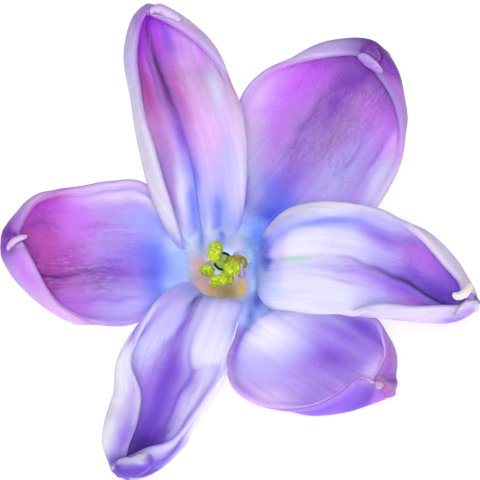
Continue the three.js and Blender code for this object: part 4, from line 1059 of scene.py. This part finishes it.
# Stalk tissue: smooth skin, waxy and faintly speckled, that changes colour from one end to the other.
def tissueMaterial(name, low, high, speckle, spacing):
    material, tree, shader, add = newMaterial(name)
    sheet = add("Attribute", {"attribute_name": "sheet"}).outputs["Vector"]
    place = add("Attribute", {"attribute_name": "place"}).outputs["Vector"]
    along = add("SeparateXYZ", {}, {0: place})
    ground = add("ValToRGB", {}, {0: along}, [(0.0, linear(low)), (1.0, linear(high))])
    grainPlace = add("VectorMath", {"operation": "MULTIPLY", 1: (0.3, 1.0, 1.0)}, {0: sheet})
    grain = add("TexNoise", {"Scale": 1 / spacing, "Detail": 3.0}, {"Vector": grainPlace})
    amount = add("MapRange", {"From Min": 0.45, "From Max": 0.75, "To Max": 0.6}, {"Value": grain})
    colour = add("Mix", {"data_type": "RGBA", 7: linear(speckle)}, {0: amount, 6: ground}).outputs[2]
    bump = add("Bump", {"Strength": 0.4, "Distance": 0.0001}, {"Height": grain})
    setNode(tree, shader, {
        "Roughness": 0.45,
        "IOR": 1.42,
        "Subsurface Weight": 0.25,
        "Subsurface Radius": (1.0, 0.9, 0.5),
        "Subsurface Scale": 0.0005,
    }, {"Base Color": colour, "Normal": bump})
    return material


def rodMesh(name, path, radii, sides, shape=lambda a, t: 1.0, lump=lambda point, t: 0.0, count=24):
    path = np.array(path, float)
    run = runOf(path)
    wanted = np.linspace(0, run[-1], count + 1)
    rows = np.repeat(path[:, None], 5, axis=1)
    centres = readRows(rows, run, wanted)[:, 2] if len(path) > 2 else np.array(
        [path[0] + (path[1] - path[0]) * w / run[-1] for w in wanted])
    radius = np.interp(wanted / run[-1], np.linspace(0, 1, len(radii)), radii)
    ways = unit(np.gradient(centres, axis=0))
    side = unit(np.cross(ways[0], np.array([0.31, 0.72, 0.55])))
    vertices, grains, places = [], [], []
    for i in range(count + 1):
        side = unit(side - ways[i] * (side @ ways[i]))
        other = np.cross(ways[i], side)
        t = i / count
        for j in range(sides):
            a = 2 * math.pi * j / sides
            way = side * math.cos(a) + other * math.sin(a)
            base = centres[i] + way * radius[i] * shape(a, t)
            bulge = lump(base, t)
            vertices.append(base + way * bulge)
            grains.append(bulge)
            places.append((t, a, 0))
    for end, t in ((0, 0.0), (count, 1.0)):
        vertices.append(centres[end] + ways[end] * (radius[end] * 0.35 * (1 if end else -1)))
        grains.append(0.0)
        places.append((t, 0, 0))
    faces = []
    for i in range(count):
        for j in range(sides):
            k = (j + 1) % sides
            faces.append((i * sides + j, i * sides + k, (i + 1) * sides + k, (i + 1) * sides + j))
    low, high = (count + 1) * sides, (count + 1) * sides + 1
    for j in range(sides):
        k = (j + 1) % sides
        faces.append((low, k, j))
        faces.append((high, count * sides + j, count * sides + k))
    grain = np.array(grains)
    spread = max(grain.max() - grain.min(), 1e-6)
    vectors = {"sheet": np.array(vertices), "place": np.array(places, float)}
    values = {"grain": (grain - grain.min()) / spread}
    return newMesh(name, [tuple(p) for p in vertices], faces, vectors, values)


# Stamens: where each filament leaves the tube's wall, in degrees, and the two ends of its anther.
stamens = {
    "inner_top": (122, (217, 244, -2.9), (213, 260, -1.5)),
    "outer_upper_right": (30, (246, 263, -3.2), (226, 262, -3.0)),
    "inner_right": (-24, (238, 266, -1.5), (226, 271, -0.8)),
    "outer_lower_right": (-66, (226, 277, -4.4), (227, 280, -3.0)),
    "inner_lower_left": (-120, (212, 282, -2.7), (226, 279, -1.7)),
    "outer_left": (-175, (206, 271, -4.2), (208, 270, -2.3)),
}
ripest = "outer_upper_right"
anther = {
    "radii": [0.36, 0.52, 0.58, 0.6, 0.58, 0.57, 0.59, 0.58, 0.52, 0.36],
    "sides": 36,
    "rings": 30,
    "waist": 0.28,
    "grainSize": 0.2,
    "grainHeight": 0.06,
}
filament = {
    "radii": [0.32, 0.28, 0.24, 0.2, 0.18],
    "sides": 16,
    "joint": 0.3,  # mm behind the anther
    "roots": (1.9, 0.95),  # mm further back
    "offWall": 0.6,
}


def pollen(point, t):
    p = Vector(point) / anther["grainSize"]
    return anther["grainHeight"] * (noise.noise(p) + 0.5 * noise.noise(p * 2.3))


def twoSacs(a, t):
    return 1 - anther["waist"] + anther["waist"] * abs(math.cos(a)) ** 0.7


def wallAt(behind):
    return np.interp(behind, [w[0] for w in tubeWall], [w[1] - w[2] / 2 for w in tubeWall])


pollenSacs = antherMaterial("Hyacinth pollen sacs", "7e9c08", "b4d410", "e0f02c", "fcff90")
ripeSacs = antherMaterial("Hyacinth pollen sacs gone over", "5c6c10", "98941a", "d0aa1c", "f0cc2c")
filamentTissue = tissueMaterial("Hyacinth filament", "c8c8ea", "d4c4e4", "c4b4da", 0.5)
for name, (wallAngle, back, front) in stamens.items():
    back, front = np.array(facePoint(back)), np.array(facePoint(front))
    mesh = rodMesh("anther_" + name, [back, front], anther["radii"], anther["sides"], twoSacs, pollen,
                   anther["rings"])
    placePiece("anther_skin_" + name, mesh, ripeSacs if name == ripest else pollenSacs, "anther",
               "anther_" + name)
    joint = back + unit(back - front) * filament["joint"]
    forward = (joint - rimCentre) @ tubeForward
    roots = [tubePoint(wallAngle, wallAt(b - forward) - filament["offWall"], forward - b)
             for b in filament["roots"]]
    mesh = rodMesh("filament_" + name, roots + [joint], filament["radii"], filament["sides"])
    placePiece("filament_skin_" + name, mesh, filamentTissue, "filament", "filament_" + name)
print("stamens in place")

# Pistil: three-celled ovary at the tube's foot, short style, stigma. Radii at distances behind the rim.
pistil = {
    "behinds": [13.6, 12.8, 11.9, 10.9, 10.0, 9.3, 8.4, 7.2, 6.1, 5.5, 5.1],
    "radii": [1.0, 1.45, 1.8, 1.8, 1.3, 0.6, 0.42, 0.38, 0.4, 0.6, 0.42],
    "sides": 36,
    "rings": 50,
}


def threeCells(a, t):
    return 1 + (0.07 if t < 0.5 else 0.02) * math.cos(3 * a)


pistilTissue = tissueMaterial("Hyacinth ovary", "5c8426", "b4cc3c", "3f6620", 0.4)
pistilPath = [rimCentre - tubeForward * b for b in pistil["behinds"]]
mesh = rodMesh("pistil_skin", pistilPath, pistil["radii"], pistil["sides"], threeCells, count=pistil["rings"])
placePiece("pistil_skin", mesh, pistilTissue, "pistil", "pistil")

# Stalk, bent away below the foot and cut across at its end.
stalk = {
    "root": 14.0,  # mm behind the rim
    "foot": 15.3,
    "straight": 1.5,
    "way": (0.35, -0.3, -0.9),
    "bends": (0.6, 4.4),
    "radii": [1.5, 1.1, 0.92, 0.85, 0.82, 0.83, 0.85, 0.86],
    "sides": 28,
    "rings": 40,
}
stalkTissue = tissueMaterial("Hyacinth stalk", "b7b98a", "7f9a4e", "8b6f93", 0.5)
stalkFoot = rimCentre - tubeForward * stalk["foot"]
stalkWay = unit(np.array(stalk["way"]))
stalkPath = [rimCentre - tubeForward * stalk["root"], stalkFoot]
stalkPath += [stalkFoot - tubeForward * stalk["straight"] + stalkWay * b for b in stalk["bends"]]
mesh = rodMesh("stalk_skin", stalkPath, stalk["radii"], stalk["sides"], count=stalk["rings"])
placePiece("stalk_skin", mesh, stalkTissue, "stalk", "stalk")
print("pistil and stalk in place")

# Studio: a plain white floor, two large soft lights, one high on the left and one beside the camera, and
# pale light all round. Lights and camera are placed in the face's millimetres, in front of it.
studio = {
    "floorReach": 4.0,  # metres
    "floorGlow": 0.6,
    "roomLight": 0.2,
    "lights": {  # place, size in metres, watts
        "key": ((-110, 130, 240), 0.16, 0.32),
        "front": ((5, 5, 330), 0.10, 0.50),
    },
    "camera": (1.44, 2.24, 240),
    "lens": 225,
    "sensor": 36,
}
# Matt white card: an even ground without glare.
paper, paperTree, paperShader, addPaper = newMaterial("Matt white card")
fibre = addPaper("TexNoise", {"Scale": 900.0})
tone = addPaper("MapRange", {"To Min": 0.93, "To Max": 0.95}, {"Value": fibre})
glow = {"Roughness": 0.9, "Emission Color": (1, 1, 1, 1), "Emission Strength": studio["floorGlow"]}
setNode(paperTree, paperShader, glow, {"Base Color": tone})
reach = studio["floorReach"]
corners = [(-reach, -reach, 0), (reach, -reach, 0), (reach, reach, 0), (-reach, reach, 0)]
floorMesh = newMesh("floor", corners, [(0, 1, 2, 3)], {}, {})
floorMesh.materials.append(paper)
floor = bpy.data.objects.new("floor", floorMesh)
bpy.context.scene.collection.objects.link(floor)

for name, (place, size, watts) in studio["lights"].items():
    light = bpy.data.lights.new(name, "AREA")
    light.size = size
    light.energy = watts
    light.color = linear("ffffff")[:3]
    lamp = bpy.data.objects.new(name, light)
    lamp.location = restMatrix @ Vector(place)
    aim = restMatrix @ Vector((0, 0, 0)) - lamp.location
    lamp.rotation_mode = "QUATERNION"
    lamp.rotation_quaternion = aim.to_track_quat("-Z", "Y")
    bpy.context.scene.collection.objects.link(lamp)
world = bpy.data.worlds.new("pale room")
world.use_nodes = True
world.node_tree.nodes["Background"].inputs[0].default_value = linear("fbfaff")
world.node_tree.nodes["Background"].inputs[1].default_value = studio["roomLight"]
bpy.context.scene.world = world

cameraData = bpy.data.cameras.new("camera")
cameraData.lens = studio["lens"]
cameraData.sensor_width = studio["sensor"]
camera = bpy.data.objects.new("camera", cameraData)
camera.matrix_world = restMatrix @ Matrix.Translation(studio["camera"]) @ Matrix.Scale(1 / mm, 4)
bpy.context.scene.collection.objects.link(camera)
bpy.context.scene.camera = camera
bpy.context.scene.view_settings.view_transform = "Standard"
print("studio in place")
